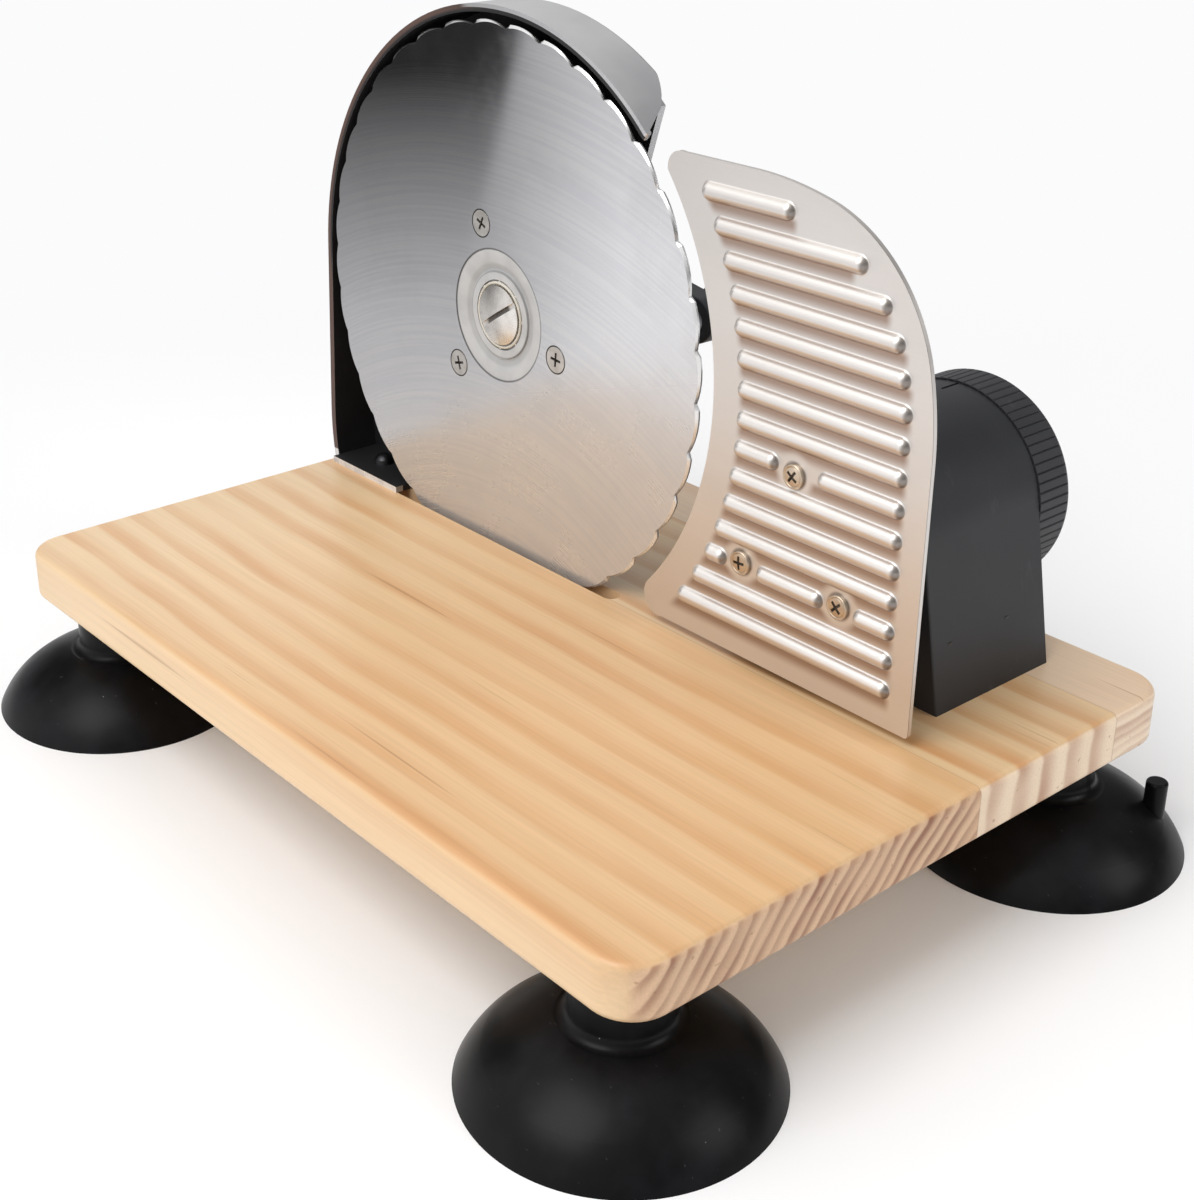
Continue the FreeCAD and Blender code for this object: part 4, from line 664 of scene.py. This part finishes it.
floor_height = SOLIDS_BOX[0][2]
turn = np.linspace(0.0, 2 * math.pi, FLOOR_SIDES, endpoint=False)
rim = np.stack([FLOOR_RADIUS * np.cos(turn), FLOOR_RADIUS * np.sin(turn),
                np.full(FLOOR_SIDES, floor_height)], 1)
flat_sheet("studio_floor", rim.tolist(), pale_floor())
print("floor at", round(floor_height, 5))

# %% [markdown]
# Two large soft lights do the work: the key light hangs high on the left, over the bread side,
# and a weaker one stands on the right, beyond the fence's end of the board. It brings out the
# board's end grain and the knob.

# %% Lights
def soft_light(name, place, size, power, target=(0.0, 0.0, 0.08)):
    """A square area light that points at a target; the power is in watts."""
    light = bpy.data.lights.new(name, "AREA")
    light.shape = "SQUARE"
    light.size = size
    light.energy = power
    lamp = bpy.data.objects.new(name, light)
    lamp.location = place
    lamp.rotation_mode = "QUATERNION"
    lamp.rotation_quaternion = (Vector(target) - Vector(place)).to_track_quat("-Z", "Y")
    bpy.context.scene.collection.objects.link(lamp)


soft_light("key_light", (-0.95, 0.0, 1.35), 1.0, 12.0)
soft_light("side_light", (0.6, -1.3, 0.9), 0.8, 6.2)

# %% [markdown]
# The room round them is white, bright on the far left and dim on the near right. Steel mirrors
# it, so its brighter side is what makes the fence and the hood shine.

# %% White room
class Room(Look):
    """The world's own tree, with the same methods as a material's."""

    def __init__(self, name):
        self.material = bpy.data.worlds.new(name)
        self.material.use_nodes = True
        self.tree = self.material.node_tree
        self.tree.nodes.clear()
        self.here = self.node("ShaderNodeTexCoord", output="Generated")


def white_room(brightest, dimmest, bright_side):
    """Bright towards one side and dim on the other, with a smooth change between them."""
    room = Room("white_room")
    lean = room.node("ShaderNodeVectorMath", {"operation": "DOT_PRODUCT"},
                     {0: room.here, 1: Vector(bright_side).normalized()}, output="Value")
    strength = dimmest + lean.ramp(-0.45, 0.85) * (brightest - dimmest)
    background = room.node("ShaderNodeBackground", inputs={
        "Color": (1.0, 1.0, 1.0, 1.0), "Strength": strength})
    output = room.tree.nodes.new("ShaderNodeOutputWorld")
    room.tree.links.new(background.socket, output.inputs["Surface"])
    return room.material


bpy.context.scene.world = white_room(1.0, 0.12, (-0.5, 0.6, 0.55))
print("world:", bpy.context.scene.world.name)

# %% [markdown]
# Steel has no colour of its own and shows whatever it mirrors. The blade's grey wedge is the
# mirror image of something dark in the studio, low down behind the left end of the board. A
# curved card puts it there: it lies on the floor round the slicer and then stands up. It darkens
# upwards, and a leaning edge divides that part from a pale one. Only mirrored light sees the
# card: it casts no shadow, and the camera doesn't see it.

# %% Curved card that the steel mirrors
CARD_NEAR = 0.22
CARD_REACH = 0.45
CARD_LIFT = 0.001
CARD_TOP = 0.40
CARD_STEPS = 40
DARK_HEIGHT = 0.14
EDGE_HEADING = 125.5
EDGE_LEAN = 29.0


def card_finish():
    """A glow by heading and height: it darkens upwards, left of a leaning edge."""
    look = Look("mirrored_card")
    x, y, z = look.split(look.here)
    heading = (y - BLADE_MIDDLE[0]).heading(x - BLADE_FRONT)
    dark = 0.66 - z.ramp(0.0, DARK_HEIGHT, smooth=False) * 0.63
    turned = heading.ramp(128.0, 138.0, smooth=False)
    pale = 0.42 + turned * 0.55 + z.ramp(DARK_HEIGHT, 0.0) * 0.20
    past = (heading - z * EDGE_LEAN).ramp(EDGE_HEADING - 0.5, EDGE_HEADING + 0.5)
    strength = dark * (1 - past) + pale * past
    light = look.node("ShaderNodeCombineColor",
                      inputs={0: strength, 1: strength, 2: strength * 1.02})
    return look.finish(Base_Color=(0.0, 0.0, 0.0, 1.0), Roughness=1.0, Specular_IOR_Level=0.0,
                       Emission_Color=light, Emission_Strength=1.0)


def curved_card(name, profile, start, end, material):
    """A strip along a profile of (distance, height), swept round the blade between two headings."""
    headings = np.radians(np.linspace(start, end, CARD_STEPS))
    reach, height = np.array(profile).T
    ring = np.stack([BLADE_FRONT + np.outer(np.cos(headings), reach),
                     BLADE_MIDDLE[0] + np.outer(np.sin(headings), reach),
                     np.tile(height, (CARD_STEPS, 1))], 2)
    count = len(profile)
    faces = [[row * count + column, row * count + column + 1,
              (row + 1) * count + column + 1, (row + 1) * count + column]
             for row in range(CARD_STEPS - 1) for column in range(count - 1)]
    mesh = bpy.data.meshes.new(name)
    mesh.from_pydata(ring.reshape(-1, 3).tolist(), [], faces)
    mesh.materials.append(material)
    card = bpy.data.objects.new(name, mesh)
    bpy.context.scene.collection.objects.link(card)
    card.visible_camera = False
    card.visible_diffuse = False
    card.visible_shadow = False
    print(name, "has", len(faces), "faces")


curved_card("mirrored_card",
            [(CARD_NEAR, CARD_LIFT), (CARD_REACH, CARD_LIFT), (CARD_REACH, CARD_TOP)],
            95.0, 165.0, card_finish())

# %% [markdown]
# The camera stands where the photograph was taken from: left of the board, in front of it and a
# little above the hood. Its place, its direction and its lens were worked out from the corners
# of the board and the ellipses of the blade and the cups.

# %% Camera
CAMERA_PLACE = Vector((-0.34193, -0.40521, 0.31816))
CAMERA_HEADING = math.radians(50.254)
CAMERA_DIP = math.radians(23.37)
FOCAL_LENGTH = 55.21
SENSOR_WIDTH = 36.0
SHIFT = (0.0469, -0.0737)

lens = bpy.data.cameras.new("camera")
lens.lens = FOCAL_LENGTH
lens.sensor_width = SENSOR_WIDTH
lens.shift_x, lens.shift_y = SHIFT
lens.clip_start = 0.01
camera = bpy.data.objects.new("camera", lens)
camera.location = CAMERA_PLACE
ahead = Vector((math.cos(CAMERA_HEADING) * math.cos(CAMERA_DIP),
                math.sin(CAMERA_HEADING) * math.cos(CAMERA_DIP),
                -math.sin(CAMERA_DIP)))
camera.rotation_mode = "QUATERNION"
camera.rotation_quaternion = ahead.to_track_quat("-Z", "Y")
bpy.context.scene.collection.objects.link(camera)
bpy.context.scene.camera = camera
bpy.context.scene.view_settings.view_transform = "Standard"
print("camera looks along", tuple(round(value, 3) for value in ahead))

# %% [markdown]
# Last, the view layer is brought up to date.

# %% Bring the scene up to date
bpy.context.view_layer.update()
